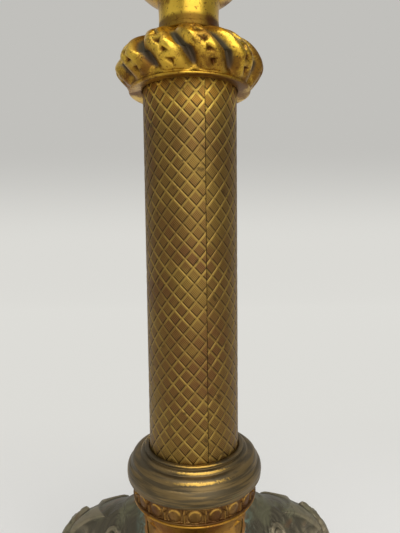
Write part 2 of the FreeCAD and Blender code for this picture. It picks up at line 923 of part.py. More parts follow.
def spool():
    """The neck between the knop and the cup, barely hollow, with a fillet at each end."""
    radius = size("spool_radius")
    low = between(knop_top, spool_top, SPOOL_FILLET_SHARE)
    high = between(spool_top, knop_top, SPOOL_FILLET_SHARE)
    step = size("spool_waist") * SPOOL_STEP_SHARE
    turned_piece("spool", [
        (rod_hole, knop_top),
        (radius, knop_top),
        (radius, low),
        (radius - step, low),
        (radius * SPOOL_TOP_SHARE - step, high, -SPOOL_HOLLOW_SHARE),
        (radius * SPOOL_TOP_SHARE, high),
        (radius * SPOOL_TOP_SHARE, spool_top),
        (rod_hole, spool_top),
    ])


BELLY_SHARE = 0.48
CUP_WAIST_SHARE = 0.76
CUP_LIP_SHARE = 0.95
CUP_WAIST_IN_SHARE = 0.10


def cup():
    """A round-bottomed cup with a drawn-in waist and a flat lip for the pan."""
    wide = size("cup_radius")
    wall = size("cup_wall")
    mouth = size("cup_mouth_radius")
    belly = between(spool_top, cup_top, BELLY_SHARE)
    waist = between(spool_top, cup_top, CUP_WAIST_SHARE)
    lip = between(spool_top, cup_top, CUP_LIP_SHARE)
    waist_radius = mouth + wall * (1 - CUP_WAIST_IN_SHARE)
    turned_piece("cup", [
        (rod_hole, spool_top),
        (size("cup_foot_radius"), spool_top),
        (wide, belly, SOFT_SHARE),
        (waist_radius, waist, SOFT_SHARE),
        (wide, lip, -SOFT_SHARE),
        (wide, cup_top),
        (mouth, cup_top),
        (mouth, belly),
        (size("cup_foot_radius") - wall, cup_floor, -SOFT_SHARE),
        (rod_hole, cup_floor),
    ])


PAN_CURL_SHARE = 0.5


def drip_pan():
    """The loose pan: a dish over the pricket, with a skirt that drops into the cup."""
    sheet_thickness = size("pan_sheet")
    rim = size("pan_radius")
    floor_radius = size("pan_floor_radius")
    hole = size("pricket_radius") + size("pan_hole_clearance")
    skirt = size("cup_mouth_radius") - size("seat_clearance")
    skirt_foot = cup_top - size("pan_skirt")
    floor_top = cup_top + sheet_thickness
    rim_top = cup_top + size("pan_depth")
    turned_piece("drip_pan", [
        (hole, cup_top),
        (skirt - sheet_thickness, cup_top),
        (skirt - sheet_thickness, skirt_foot),
        (skirt, skirt_foot),
        (skirt, cup_top),
        (floor_radius, cup_top),
        (rim, rim_top - sheet_thickness, SOFT_SHARE),
        (rim, rim_top, PAN_CURL_SHARE),
        (rim - sheet_thickness, rim_top),
        (floor_radius, floor_top, -SOFT_SHARE),
        (hole, floor_top),
    ])


SPIKE_FOOT_SHARE = 0.26


def pricket():
    """The iron spike: a foot that locks on the nut, a stem through the pan and a long point."""
    foot_radius = size("pricket_foot_radius")
    foot_top = pricket_foot + size("pricket_foot_height")
    tip = pricket_foot + size("pricket_height")
    stem_top = between(pricket_foot, tip, SPIKE_FOOT_SHARE)
    turned_piece("pricket", [
        (thread_hole, pricket_foot),
        (foot_radius, pricket_foot),
        (foot_radius, foot_top),
        (size("pricket_radius"), foot_top),
        (size("pricket_radius"), stem_top),
        (size("pricket_tip_radius"), tip),
        (AXIS, tip),
        (AXIS, rod_top + size("overrun")),
        (thread_hole, rod_top + size("overrun")),
    ])


def build():
    """Make every piece, from the floor up."""
    for leg in LEGS:
        paw_foot(leg)
    paw_screws()
    tripod_base()
    tie_rod()
    washer("clamp_plate", size("plate_radius"), rod_hole, plate_underside, deck_underside)
    hex_nut("tie_rod_nut", nut_underside)
    base_neck()
    egg_band()
    lower_collar()
    shaft_sleeve()
    turban_knop()
    spool()
    cup()
    washer("top_washer", size("washer_radius"), rod_hole, cup_floor, top_washer_top)
    hex_nut("top_nut", top_washer_top)
    pricket()
    drip_pan()
    doc.recompute()


def check():
    """Stop if any object failed or any piece is empty or broken."""
    for obj in doc.Objects:
        if "Invalid" in obj.State or "Error" in obj.State:
            raise RuntimeError(f"{obj.Label} failed: {obj.State}")
    for piece in pieces:
        if piece.Shape.isNull() or not piece.Shape.isValid():
            raise RuntimeError(f"{piece.Label} has no sound shape")


def write():
    """Write one file for each piece."""
    os.makedirs("parts", exist_ok=True)
    for piece in pieces:
        piece.Shape.exportStep(f"parts/{piece.Label}.step")
        print(f"{piece.Label}: {len(piece.Shape.Solids)} solid(s), {piece.Shape.Volume:.0f} mm3")


build()
check()
write()
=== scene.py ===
"""Looks of the pricket candlestick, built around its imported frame.

Lengths are metres in the frame of the part: +Z is up, the origin is on the axis of the stack, on the plane
that the feet stand on, and -Y is the front. A bearing is an angle measured from the front towards +X.
"""
import logging
import math
from dataclasses import dataclass
from enum import Enum
from functools import partial, reduce
from typing import Any, Callable

import bmesh
import bpy
import numpy as np
from mathutils import Euler, Matrix, Vector


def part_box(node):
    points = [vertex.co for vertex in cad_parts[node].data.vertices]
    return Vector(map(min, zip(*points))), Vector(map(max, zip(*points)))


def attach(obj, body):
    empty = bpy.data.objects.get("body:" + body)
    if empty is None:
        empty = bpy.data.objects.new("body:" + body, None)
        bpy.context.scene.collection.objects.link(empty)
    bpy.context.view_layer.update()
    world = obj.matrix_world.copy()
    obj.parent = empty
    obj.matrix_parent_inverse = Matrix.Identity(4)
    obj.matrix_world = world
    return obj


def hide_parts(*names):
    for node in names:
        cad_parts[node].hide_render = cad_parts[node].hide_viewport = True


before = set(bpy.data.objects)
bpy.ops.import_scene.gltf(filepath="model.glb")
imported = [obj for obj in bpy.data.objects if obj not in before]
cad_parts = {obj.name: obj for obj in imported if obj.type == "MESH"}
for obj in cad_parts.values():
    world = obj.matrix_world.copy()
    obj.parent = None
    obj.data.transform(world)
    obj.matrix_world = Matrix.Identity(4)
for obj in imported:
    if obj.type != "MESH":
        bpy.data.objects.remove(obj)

log = logging.getLogger("candlestick")

Colour = tuple[float, float, float, float]
Place = tuple[float, float, float]
Point = tuple[float, float]
Range = tuple[float, float]
Shares = tuple[float, ...]
Array = np.ndarray
Board = bmesh.types.BMesh
Piece = bpy.types.Object
Material = bpy.types.Material
Socket = bpy.types.NodeSocket

FULL_TURN = 2 * math.pi
THIRD_TURN = FULL_TURN / 3
SIXTH_TURN = FULL_TURN / 6
LEG_BEARINGS = {"front": 0.0, "right": THIRD_TURN, "left": 2 * THIRD_TURN}

# arcs, as the rise over the chord
HALF_SHARE = 0.5
QUARTER_SHARE = 0.207
SOFT_SHARE = 0.12
FAINT_SHARE = 0.05

# spacing of the points along an outline: where it is carved, where it shows, where it is hidden, where it is long
CARVED_PACE = 0.0003
FINE_PACE = 0.0006
COARSE_PACE = 0.003
LONG_PACE = 0.01

# distance within which points count as one, and a length and an angle that stand in for none in a division
TOUCHING = 1e-7
NO_LENGTH = 1e-12
LEAST_ANGLE = 1e-6


class Body(Enum):
    """The bodies that the pieces move with."""

    STAND = "stand"
    PAN = "drip_pan"


class Slot(Enum):
    """The material slots of the record."""

    GILT = "gilt_brass"
    DARK = "dark_brass"
    EMBOSSED = "embossed_brass"
    IRON = "iron"


def shade(red: int, green: int, blue: int) -> Colour:
    """A colour given in display values.

    Args:
        red: Red from 0 to 255.
        green: Green from 0 to 255.
        blue: Blue from 0 to 255.

    Returns:
        The same colour in linear light, opaque.
    """
    linear = []
    for value in (red, green, blue):
        part = value / 255
        linear.append(part / 12.92 if part <= 0.04045 else ((part + 0.055) / 1.055) ** 2.4)
    return (*linear, 1.0)


def curve_through(knots: Array, values: Array, at: Array) -> Array:
    """A smooth curve through given points.

    Args:
        knots: Places of the points, rising.
        values: Values at those places.
        at: Places to read the curve at, held within the first and last knot.

    Returns:
        The curve's values at those places.
    """
    slopes = np.gradient(values, knots)
    place = np.clip(at, knots[0], knots[-1])
    index = np.clip(np.searchsorted(knots, place, side="right") - 1, 0, len(knots) - 2)
    gap = knots[index + 1] - knots[index]
    share = (place - knots[index]) / gap
    rest = 1 - share
    start = values[index] * (1 + 2 * share) * rest**2 + slopes[index] * gap * share * rest**2
    end = values[index + 1] * share**2 * (3 - 2 * share) - slopes[index + 1] * gap * share**2 * rest
    return start + end


def ridge(distance: Array, width: float) -> Array:
    """A soft ridge of height 1 where the distance is zero, about two widths across."""
    return np.exp(-((distance / width) ** 2))


@dataclass(frozen=True)
class Span:
    """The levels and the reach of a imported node."""

    foot: float
    top: float
    reach: float

    @classmethod
    def of(cls, node: str) -> "Span":
        """The span of the node with the given name."""
        low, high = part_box(node)
        return cls(low.z, high.z, max(high.x, -low.x, high.y, -low.y))

    @property
    def height(self) -> float:
        """Height from the foot to the top."""
        return self.top - self.foot

    def level(self, share: float) -> float:
        """The level that lies the given share of the way up."""
        return self.foot + self.height * share


class Outline:
    """A closed outline in radius and height, walked with the metal on the left hand."""

    def __init__(self, radius: float, height: float) -> None:
        """Start at a corner.

        Args:
            radius: Distance from the axis.
            height: Level of the corner.
        """
        self.points: list[Point] = [(radius, height)]
        self.carved: list[float] = [0.0]

    def line(self, radius: float, height: float, carved: bool = False, pace: float = FINE_PACE) -> "Outline":
        """Go straight to the next corner.

        Args:
            radius: Distance from the axis.
            height: Level of the corner.
            carved: Whether relief is carved along this stretch.
            pace: Spacing of the points on the way.

        Returns:
            The outline itself.
        """
        return self.arc(radius, height, 0.0, carved, pace)

    def hidden(self, radius: float, height: float) -> "Outline":
        """Go straight to the next corner with few points, along a stretch that hardly shows."""
        return self.line(radius, height, pace=COARSE_PACE)

    def arc(
        self, radius: float, height: float, bulge: float, carved: bool = False, pace: float = FINE_PACE
    ) -> "Outline":
        """Go along an arc to the next corner.

        Args:
            radius: Distance from the axis.
            height: Level of the corner.
            bulge: Rise of the arc over its chord, positive where it swells away from the metal.
            carved: Whether relief is carved along this stretch.
            pace: Spacing of the points on the way.

        Returns:
            The outline itself.
        """
        start = np.array(self.points[-1])
        chord = np.array((radius, height)) - start
        length = float(np.hypot(*chord))
        count = max(1, round(length / pace))
        half_angle = 2 * math.atan(2 * bulge)
        away = np.array((chord[1], -chord[0]))
        for step in range(1, count + 1):
            share = step / count
            if bulge:
                turn = half_angle * (2 * share - 1)
                along = 0.5 + 0.5 * math.sin(turn) / math.sin(half_angle)
                rise = 0.5 * (math.cos(turn) - math.cos(half_angle)) / math.sin(half_angle)
            else:
                along, rise = share, 0.0
            point = start + chord * along + away * rise
            self.points.append((float(point[0]), float(point[1])))
            self.carved.append(float(carved))
        return self

    def loop(self, softening: int) -> tuple[Array, Array]:
        """The closed loop of points, with its corners worn round.

        Args:
            softening: How often each point is drawn towards its neighbours.

        Returns:
            The points, one row each, and how far each is carved.
        """
        if math.dist(self.points[0], self.points[-1]) > FINE_PACE / 10:
            self.line(*self.points[0])
        points = np.array(self.points[:-1])
        for _ in range(softening):
            points = (np.roll(points, 1, 0) + 2 * points + np.roll(points, -1, 0)) / 4
        return points, np.array(self.carved[:-1])


@dataclass(frozen=True)
class Turn:
    """Where the points of a turned mesh lie: rows follow the outline and columns go round."""

    bearing: Array
    radius: Array
    height: Array
    carved: Array


Carving = Callable[[Turn], Array]


def linked(name: str, data: bpy.types.ID) -> Piece:
    """A new object in the scene.

    Args:
        name: Name of the object.
        data: The mesh, light or camera that it holds.

    Returns:
        The object.
    """
    thing = bpy.data.objects.new(name, data)
    bpy.context.scene.collection.objects.link(thing)
    return thing


def new_piece(name: str, points: Array, faces: Array) -> Piece:
    """A smooth-shaded object made of points and faces.

    Args:
        name: Name of the piece.
        points: Corners, one row each.
        faces: Corner numbers, one face in each row.

    Returns:
        The object, linked to the scene.
    """
    mesh = bpy.data.meshes.new(name)
    mesh.from_pydata(points.tolist(), [], faces.tolist())
    mesh.shade_smooth()
    return linked(name, mesh)


def piece_from(name: str, board: Board) -> Piece:
    """An object made from an edited mesh.

    Args:
        name: Name of the piece.
        board: The edited mesh, which is freed.

    Returns:
        The object, linked to the scene.
    """
    mesh = bpy.data.meshes.new(name)
    board.to_mesh(mesh)
    board.free()
    return linked(name, mesh)


def corners_of(mesh: bpy.types.Mesh) -> Array:
    """The corners of a mesh.

    Args:
        mesh: The mesh.

    Returns:
        Their places, one row each.
    """
    places = np.empty(len(mesh.vertices) * 3)
    mesh.vertices.foreach_get("co", places)
    return places.reshape(-1, 3)


def around(radius: Array | float, bearing: Array, height: Array) -> Array:
    """Points given by their distance from the axis, their bearing and their level."""
    return np.stack([radius * np.sin(bearing), -radius * np.cos(bearing), height], -1)


def grid_faces(rows: int, columns: int) -> Array:
    """Faces of a grid whose rows and columns all close into rings.

    Args:
        rows: Number of rows.
        columns: Number of columns.

    Returns:
        Four corner numbers in each row.
    """
    row = np.arange(rows)[:, None]
    column = np.arange(columns)[None, :]
    after = (row + 1) % rows
    beside = (column + 1) % columns
    corners = (row * columns + column, row * columns + beside, after * columns + beside, after * columns + column)
    return np.stack(corners, -1).reshape(-1, 4)


def note(piece: Piece, name: str, values: Array) -> None:
    """Keep one number for each point of a mesh, for its finish to read.

    Args:
        piece: The object.
        name: Name of the attribute.
        values: One number for each point.
    """
    attribute = piece.data.attributes.new(name, "FLOAT", "POINT")
    attribute.data.foreach_set("value", np.ascontiguousarray(values, np.float32).ravel())


def weld(piece: Piece) -> None:
    """Join points that lie on one another, such as those on the axis.

    Args:
        piece: The object.
    """
    board = bmesh.new()
    board.from_mesh(piece.data)
    bmesh.ops.remove_doubles(board, verts=board.verts, dist=TOUCHING)
    board.to_mesh(piece.data)
    board.free()


def settle(piece: Piece) -> None:
    """Replace a piece's mesh by what its modifiers make of it.

    Args:
        piece: The object.
    """
    graph = bpy.context.evaluated_depsgraph_get()
    mesh = bpy.data.meshes.new_from_object(piece.evaluated_get(graph))
    piece.modifiers.clear()
    old = piece.data
    piece.data = mesh
    mesh.name = piece.name
    bpy.data.meshes.remove(old)


def thicken(piece: Piece, thickness: float) -> None:
    """Give a sheet its thickness on the side away from its faces.

    Args:
        piece: The object.
        thickness: Thickness of the sheet.
    """
    solid = piece.modifiers.new("thickness", "SOLIDIFY")
    solid.thickness = thickness
    solid.offset = -1.0
    settle(piece)


def turned(
    name: str, outline: Outline, steps: int, carving: Carving | None = None, depth: float = 0.001,
    softening: int = 3, marks: dict[str, Carving] | None = None,
) -> Piece:
    """A piece turned about the axis, with relief carved on it.

    Args:
        name: Name of the piece.
        outline: Its outline.
        steps: Number of columns round the axis.
        carving: Gives how far each point is raised, or None for a plain piece.
        depth: Relief that counts as full crest or full recess for the finish.
        softening: How worn the corners of the outline are.
        marks: Further numbers to keep for each point, by name.

    Returns:
        The object.
    """
    loop, carved = outline.loop(softening)
    way = np.roll(loop, -1, 0) - np.roll(loop, 1, 0)
    way /= np.maximum(np.hypot(way[:, 0], way[:, 1]), NO_LENGTH)[:, None]
    bearing = np.linspace(0, FULL_TURN, steps, endpoint=False)[None, :]
    turn = Turn(bearing, loop[:, :1], loop[:, 1:], carved[:, None])
    relief = np.zeros((len(loop), steps)) if carving is None else carving(turn) * turn.carved
    radius = np.maximum(turn.radius + way[:, 1:] * relief, 0.0)
    height = turn.height - way[:, :1] * relief
    piece = new_piece(name, around(radius, bearing, height).reshape(-1, 3), grid_faces(len(loop), steps))
    note(piece, "relief", np.clip(relief / depth, -1, 1))
    for label, mark in (marks or {}).items():
        note(piece, label, np.broadcast_to(mark(turn), relief.shape))
    if float(radius.min()) < TOUCHING:
        weld(piece)
    return piece


def hand_over(
    piece: Piece, finish: Material, slot: Slot, *nodes: str, body: Body = Body.STAND
) -> None:
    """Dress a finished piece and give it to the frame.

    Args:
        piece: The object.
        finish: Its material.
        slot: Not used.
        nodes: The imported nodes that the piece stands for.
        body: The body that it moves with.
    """
    piece.data.materials.clear()
    piece.data.materials.append(finish)
    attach(piece, body.value)
    if nodes:
        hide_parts(*nodes)
    log.info("%s: %d faces on %s", piece.name, len(piece.data.polygons), body.value)


# Finishes


@dataclass(frozen=True)
class Mottle:
    """Cloudy noise, and the stretch of it over which a share goes from least to most."""

    scale: float
    low: float
    high: float
    detail: float = 3.0
    warp: float = 0.0
    least: float = 0.0
    most: float = 1.0


class NodeBoard:
    """The nodes of one material, with short calls that add them and link them up."""

    def __init__(self, name: str) -> None:
        """Start a material that holds only a surface shader.

        Args:
            name: Name of the material.
        """
        self.material = bpy.data.materials.new(name)
        self.material.use_nodes = True
        self.tree = self.material.node_tree
        self.tree.nodes.clear()
        self.surface = self.add("ShaderNodeBsdfPrincipled")
        self.add("ShaderNodeOutputMaterial", {"Surface": self.surface.outputs["BSDF"]})
        self.place = self.add("ShaderNodeTexCoord").outputs["Object"]

    def add(self, kind: str, feeds: dict[Any, Any] | None = None, **settings: Any) -> bpy.types.Node:
        """Add a node, set its properties and feed its inputs.

        Args:
            kind: Type of the node.
            feeds: What goes into its inputs, by their names or numbers.
            settings: Its properties, by name.

        Returns:
            The node.
        """
        node = self.tree.nodes.new(kind)
        for name, value in settings.items():
            setattr(node, name, value)
        for key, value in (feeds or {}).items():
            self.feed(node.inputs[key], value)
        return node

    def feed(self, socket: Socket, value: Any) -> None:
        """Link an output to a socket, or set the socket to a plain value.

        Args:
            socket: The input.
            value: The output to link, or the value.
        """
        if isinstance(value, Socket):
            self.tree.links.new(value, socket)
        else:
            socket.default_value = value

    def reading(self, name: str) -> Socket:
        """A number that was kept for each point of the mesh."""
        return self.add("ShaderNodeAttribute", attribute_name=name).outputs["Fac"]

    def stretched(self, scale: Place) -> Socket:
        """The place on the object with each axis scaled."""
        return self.add("ShaderNodeMapping", {"Vector": self.place, "Scale": scale}).outputs["Vector"]

    def noise(self, scale: float, detail: float = 4.0, warp: float = 0.0, place: Socket | None = None) -> Socket:
        """Cloudy noise.

        Args:
            scale: How many clouds lie in a metre.
            detail: How much fine noise is laid over it.
            warp: How far it is distorted.
            place: Where it is read, or None for the place on the object.

        Returns:
            The noise, about 0.5.
        """
        feeds = {"Scale": scale, "Detail": detail, "Distortion": warp, "Vector": self.place if place is None else place}
        return self.add("ShaderNodeTexNoise", feeds).outputs["Fac"]

    def mottled(self, mottle: Mottle) -> Socket:
        """The share that a mottle gives at each place."""
        cloud = self.noise(mottle.scale, mottle.detail, mottle.warp)
        return self.span(cloud, mottle.low, mottle.high, mottle.least, mottle.most)

    def cells(self, scale: float) -> Socket:
        """Distance to the nearest of many scattered points, of which the scale gives the number in a metre."""
        return self.add("ShaderNodeTexVoronoi", {"Vector": self.place, "Scale": scale}).outputs["Distance"]

    def math(self, operation: str, first: Any, second: Any = 0.0) -> Socket:
        """The result of an operation on two numbers."""
        return self.add("ShaderNodeMath", {0: first, 1: second}, operation=operation).outputs[0]

    def times(self, first: Any, second: Any) -> Socket:
        """The product of two numbers."""
        return self.math("MULTIPLY", first, second)

    def plus(self, first: Any, second: Any) -> Socket:
        """The sum of two numbers."""
        return self.math("ADD", first, second)

    def largest(self, *values: Any) -> Socket:
        """The largest of some numbers."""
        return reduce(partial(self.math, "MAXIMUM"), values)

    def span(self, value: Any, low: float, high: float, least: float = 0.0, most: float = 1.0) -> Socket:
        """A number that goes smoothly from least to most as the value goes from low to high."""
        feeds = {"Value": value, "From Min": low, "From Max": high, "To Min": least, "To Max": most}
        return self.add("ShaderNodeMapRange", feeds, interpolation_type="SMOOTHSTEP").outputs["Result"]

    def between(self, share: Any, first: float, second: float) -> Socket:
        """A number that goes smoothly from the first to the second as the share goes from 0 to 1."""
        return self.span(share, 0.0, 1.0, first, second)

    def blend(self, share: Any, first: Any, second: Any) -> Socket:
        """The first colour with a share of the second laid over it."""
        return self.add("ShaderNodeMix", {"Factor": share, 6: first, 7: second}, data_type="RGBA").outputs[2]

    def bump(self, height: Any, strength: float, distance: float, under: Socket | None = None) -> Socket:
        """A surface direction that follows a height.

        Args:
            height: The height, from 0 to 1.
            strength: How strongly it shows.
            distance: What a height of 1 stands for, in metres.
            under: The direction that it is laid over, or None.

        Returns:
            The direction.
        """
        feeds = {"Strength": strength, "Distance": distance, "Height": height}
        if under is not None:
            feeds["Normal"] = under
        return self.add("ShaderNodeBump", feeds).outputs["Normal"]

    def finish(self, colour: Any, metal: Any, rough: Any, normal: Any) -> Material:
        """Feed the shader.

        Args:
            colour: Colour of the surface.
            metal: How metallic it is.
            rough: How rough it is.
            normal: Its direction.

        Returns:
            The finished material.
        """
        feeds = {"Base Color": colour, "Metallic": metal, "Roughness": rough, "Normal": normal}
        for name, value in feeds.items():
            self.feed(self.surface.inputs[name], value)
        return self.material


@dataclass(frozen=True)
class GiltBrass:
    """Worn gilding: worn in places, red-brown where it has tarnished, dark and dull in the recesses, with painted
    highlights and painted shade where the mesh marks them.
    """

    name: str
    gold: Colour = shade(226, 184, 66)
    worn: Colour = shade(166, 120, 44)
    # colour of the painted highlight
    bright: Colour = shade(196, 152, 70)
    tarnish: Colour = shade(102, 60, 28)
    soil_and_shade: Colour = shade(72, 63, 40)
    # colour laid by the stain mark: tarnish in notches, and painted shade
    stain_and_shade_colour: Colour = shade(80, 44, 24)
    tarnish_start: float = 0.47
    pits: float = 1.0
    gloss: float = 0.28
    dull: float = 0.50
    wear: Mottle = Mottle(28, 0.42, 0.64)
    specks: Mottle = Mottle(760, 0.58, 0.68, detail=2)
    cloud_scale: float = 70.0
    cloud_warp: float = 0.6
    grain_scale: float = 1500.0
    grain_share: float = 0.25
    patch_stretch: Range = (0.08, 0.26)
    patch_share: float = 0.8
    speck_share: float = 0.65
    pit_scale: float = 520.0
    pit_sizes: Range = (0.20, 0.08)
    pitted_clouds: Range = (0.44, 0.60)
    recess_reliefs: Range = (-0.38, -0.72)
    recess_dullness: float = 0.2
    recess_metal: float = 0.25
    stain_and_shade_share: float = 0.90
    grain_bump: Range = (0.25, 0.0002)
    pit_bump: Range = (0.7, 0.0005)

    def material(self) -> Material:
        """Build the finish.

        Returns:
            The material.
        """
        board = NodeBoard(self.name)
        stain_and_shade = board.reading("stain_and_shade")
        cloud = board.noise(self.cloud_scale, 5, self.cloud_warp)
        grain = board.noise(self.grain_scale, 3)
        start, end = (self.tarnish_start + stretch for stretch in self.patch_stretch)
        patch = board.span(board.plus(cloud, board.times(grain, self.grain_share)), start, end)
        hole = board.span(board.cells(self.pit_scale), *self.pit_sizes)
        hole = board.times(board.times(hole, board.span(cloud, *self.pitted_clouds)), self.pits)
        recess = board.span(board.reading("relief"), *self.recess_reliefs)
        colour = board.blend(board.mottled(self.wear), self.gold, self.worn)
        # Painted highlight where the highlight mark is set; tarnish and painted shade together where the stain mark is
        # set.
        for share, coat in (
            (board.times(patch, self.patch_share), self.tarnish),
            (board.reading("painted_highlight"), self.bright),
            (board.times(board.mottled(self.specks), self.speck_share), self.tarnish),
            (recess, self.soil_and_shade),
            (board.times(stain_and_shade, self.stain_and_shade_share), self.stain_and_shade_colour),
            (hole, self.soil_and_shade),
        ):
            colour = board.blend(share, colour, coat)
        tired = board.largest(patch, recess, hole, stain_and_shade)
        rough = board.plus(board.between(tired, self.gloss, self.dull), board.times(recess, self.recess_dullness))
        metal = board.between(recess, 1.0, self.recess_metal)
        normal = board.bump(grain, *self.grain_bump)
        normal = board.bump(board.math("SUBTRACT", 1.0, hole), *self.pit_bump, normal)
        return board.finish(colour, metal, rough, normal)


@dataclass(frozen=True)
class EmbossedBrass:
    """The pressed sheet: hatched olive-brown lozenges between grooves, with painted shade along the upper flank of each
    groove and a painted highlight along the lower flank.

    The painted highlights are brightest near the top of the sheet at the front, where the gold is partly polish and
    partly painted highlight.
    """

    name: str
    field: Colour = shade(128, 98, 46)
    field_red: Colour = shade(116, 80, 42)
    field_light: Colour = shade(138, 109, 50)
    # edge: the painted highlight along the lower flank of each groove; gold: the same painted highlight, brighter near
    # the top of the sheet at the front
    edge: Colour = shade(152, 124, 58)
    gold: Colour = shade(252, 214, 96)
    warm: Colour = shade(212, 156, 60)
    # dirt in the hatching and in clouds, and the painted shade along the upper flank of each groove
    soil_and_shade: Colour = shade(52, 38, 20)
    hatches: float = 7.0
    hatch_shares: Range = (0.3, 0.2)
    hatch_soil: Shares = (0.80, 0.1, 0.0, 0.60)
    # widths of the painted highlight on the lower flank and of the painted shade on the upper flank of each groove
    highlight_widths: Range = (0.25, 0.11)
    shade_widths: Range = (0.14, 0.06)
    red_lots: Shares = (0.1, 0.9, 0.0, 0.35)
    red_clouds: Mottle = Mottle(24, 0.50, 0.70, warp=0.5)
    light_clouds: Mottle = Mottle(42, 0.46, 0.66, detail=4, warp=0.4)
    flank_highlight_mottle: Mottle = Mottle(75, 0.38, 0.60, least=0.40)
    rubbed_and_highlight_mottle: Mottle = Mottle(160, 0.36, 0.58, detail=2, least=0.45)
    dirt: Mottle = Mottle(230, 0.62, 0.76, most=0.6)
    rubbed_and_highlight_share: float = 0.8
    shaded_flank_share: float = 0.80
    lit_flank_share: float = 0.85
    groove_reliefs: Range = (-0.25, -0.9)
    roughness: Range = (0.46, 0.40)
    metal: float = 0.85
    grain_scale: float = 1700.0
    hatch_bump: Range = (0.22, 0.00025)
    grain_bump: Range = (0.2, 0.00015)

    def material(self) -> Material:
        """Build the finish.

        Returns:
            The material.
        """
        board = NodeBoard(self.name)
        falling, rising = board.reading("falling"), board.reading("rising")
        lozenge = board.add("ShaderNodeCombineXYZ", {0: board.math("FLOOR", falling), 1: board.math("FLOOR", rising)})
        lot = board.add("ShaderNodeTexWhiteNoise", {"Vector": lozenge.outputs[0]}, noise_dimensions="2D")
        hatch: Any = 0.5
        for reading, share in zip((falling, rising), self.hatch_shares):
            wave = board.math("SINE", board.times(reading, FULL_TURN * self.hatches))
            hatch = board.plus(hatch, board.times(wave, share))
        fall, rise = board.math("FRACT", falling), board.math("FRACT", rising)
        # Painted highlight along the lower flank of each groove.
        wide, deep = self.highlight_widths
        lower = board.largest(board.span(fall, 1 - wide, 1 - deep), board.span(rise, wide, deep))
        lower = board.times(lower, board.mottled(self.flank_highlight_mottle))
        # Painted shade along the upper flank of each groove.
        wide, deep = self.shade_widths
        upper = board.largest(board.span(fall, wide, deep), board.span(rise, 1 - wide, 1 - deep))
        # Gold near the top of the sheet at the front: partly polish and partly painted highlight.
        rubbed_and_highlight = board.times(board.reading("rubbed_and_highlight"), board.mottled(self.rubbed_and_highlight_mottle))
        colour = board.blend(board.span(lot.outputs["Value"], *self.red_lots), self.field, self.field_red)
        for share, coat in (
            (board.mottled(self.red_clouds), self.field_red),
            (board.mottled(self.light_clouds), self.field_light),
            (board.times(rubbed_and_highlight, self.rubbed_and_highlight_share), self.warm),
            (board.span(hatch, *self.hatch_soil), self.soil_and_shade),
            (board.times(upper, self.shaded_flank_share), self.soil_and_shade),
            (board.times(lower, self.lit_flank_share), self.edge),
            (board.times(lower, rubbed_and_highlight), self.gold),
            (board.mottled(self.dirt), self.soil_and_shade),
        ):
            colour = board.blend(share, colour, coat)
        groove = board.span(board.reading("relief"), *self.groove_reliefs)
        normal = board.bump(hatch, *self.hatch_bump)
        normal = board.bump(board.noise(self.grain_scale, 3), *self.grain_bump, normal)
        return board.finish(colour, self.metal, board.between(groove, *self.roughness), normal)


@dataclass(frozen=True)
class PatinatedBrass:
    """Brown skin on turned brass, rubbed through to gold along the upper lips, most at the front and on two other
    sides; that gold is partly wear and partly painted highlight.
    """

    name: str
    skin: Colour = shade(116, 96, 60)
    skin_dark: Colour = shade(82, 71, 50)
    # gold of the upper lips, partly wear and partly painted highlight
    rubbed_and_highlight: Colour = shade(190, 153, 76)
    green: Colour = shade(88, 94, 66)
    ring_scale: float = 60.0
    ring_warp: float = 0.2
    ring_stretch: Place = (1.0, 1.0, 16.0)
    grain_scale: float = 900.0
    ring_share: float = 0.5
    grain_share: float = 0.9
    bare_and_highlight_stretch: Range = (1.10, 1.45)
    skin_stretch: Range = (0.40, 0.62)
    damp: Mottle = Mottle(150, 0.64, 0.78, detail=4, most=0.5)
    roughness: Range = (0.45, 0.38)
    metal: Range = (0.8, 1.0)
    grain_bump: Range = (0.3, 0.0002)

    def material(self) -> Material:
        """Build the finish.

        Returns:
            The material.
        """
        board = NodeBoard(self.name)
        ringed = board.noise(self.ring_scale, 6, self.ring_warp, board.stretched(self.ring_stretch))
        grain = board.noise(self.grain_scale, 3)
        ragged = board.plus(board.times(ringed, self.ring_share), board.times(grain, self.grain_share))
        # The wear mark lays gold on the upper lips that is partly wear and partly painted highlight.
        bare_and_highlight = board.span(board.plus(board.reading("wear"), ragged), *self.bare_and_highlight_stretch)
        colour = board.blend(board.span(ringed, *self.skin_stretch), self.skin_dark, self.skin)
        colour = board.blend(board.mottled(self.damp), colour, self.green)
        colour = board.blend(bare_and_highlight, colour, self.rubbed_and_highlight)
        rough, metal = board.between(bare_and_highlight, *self.roughness), board.between(bare_and_highlight, *self.metal)
        return board.finish(colour, metal, rough, board.bump(grain, *self.grain_bump))


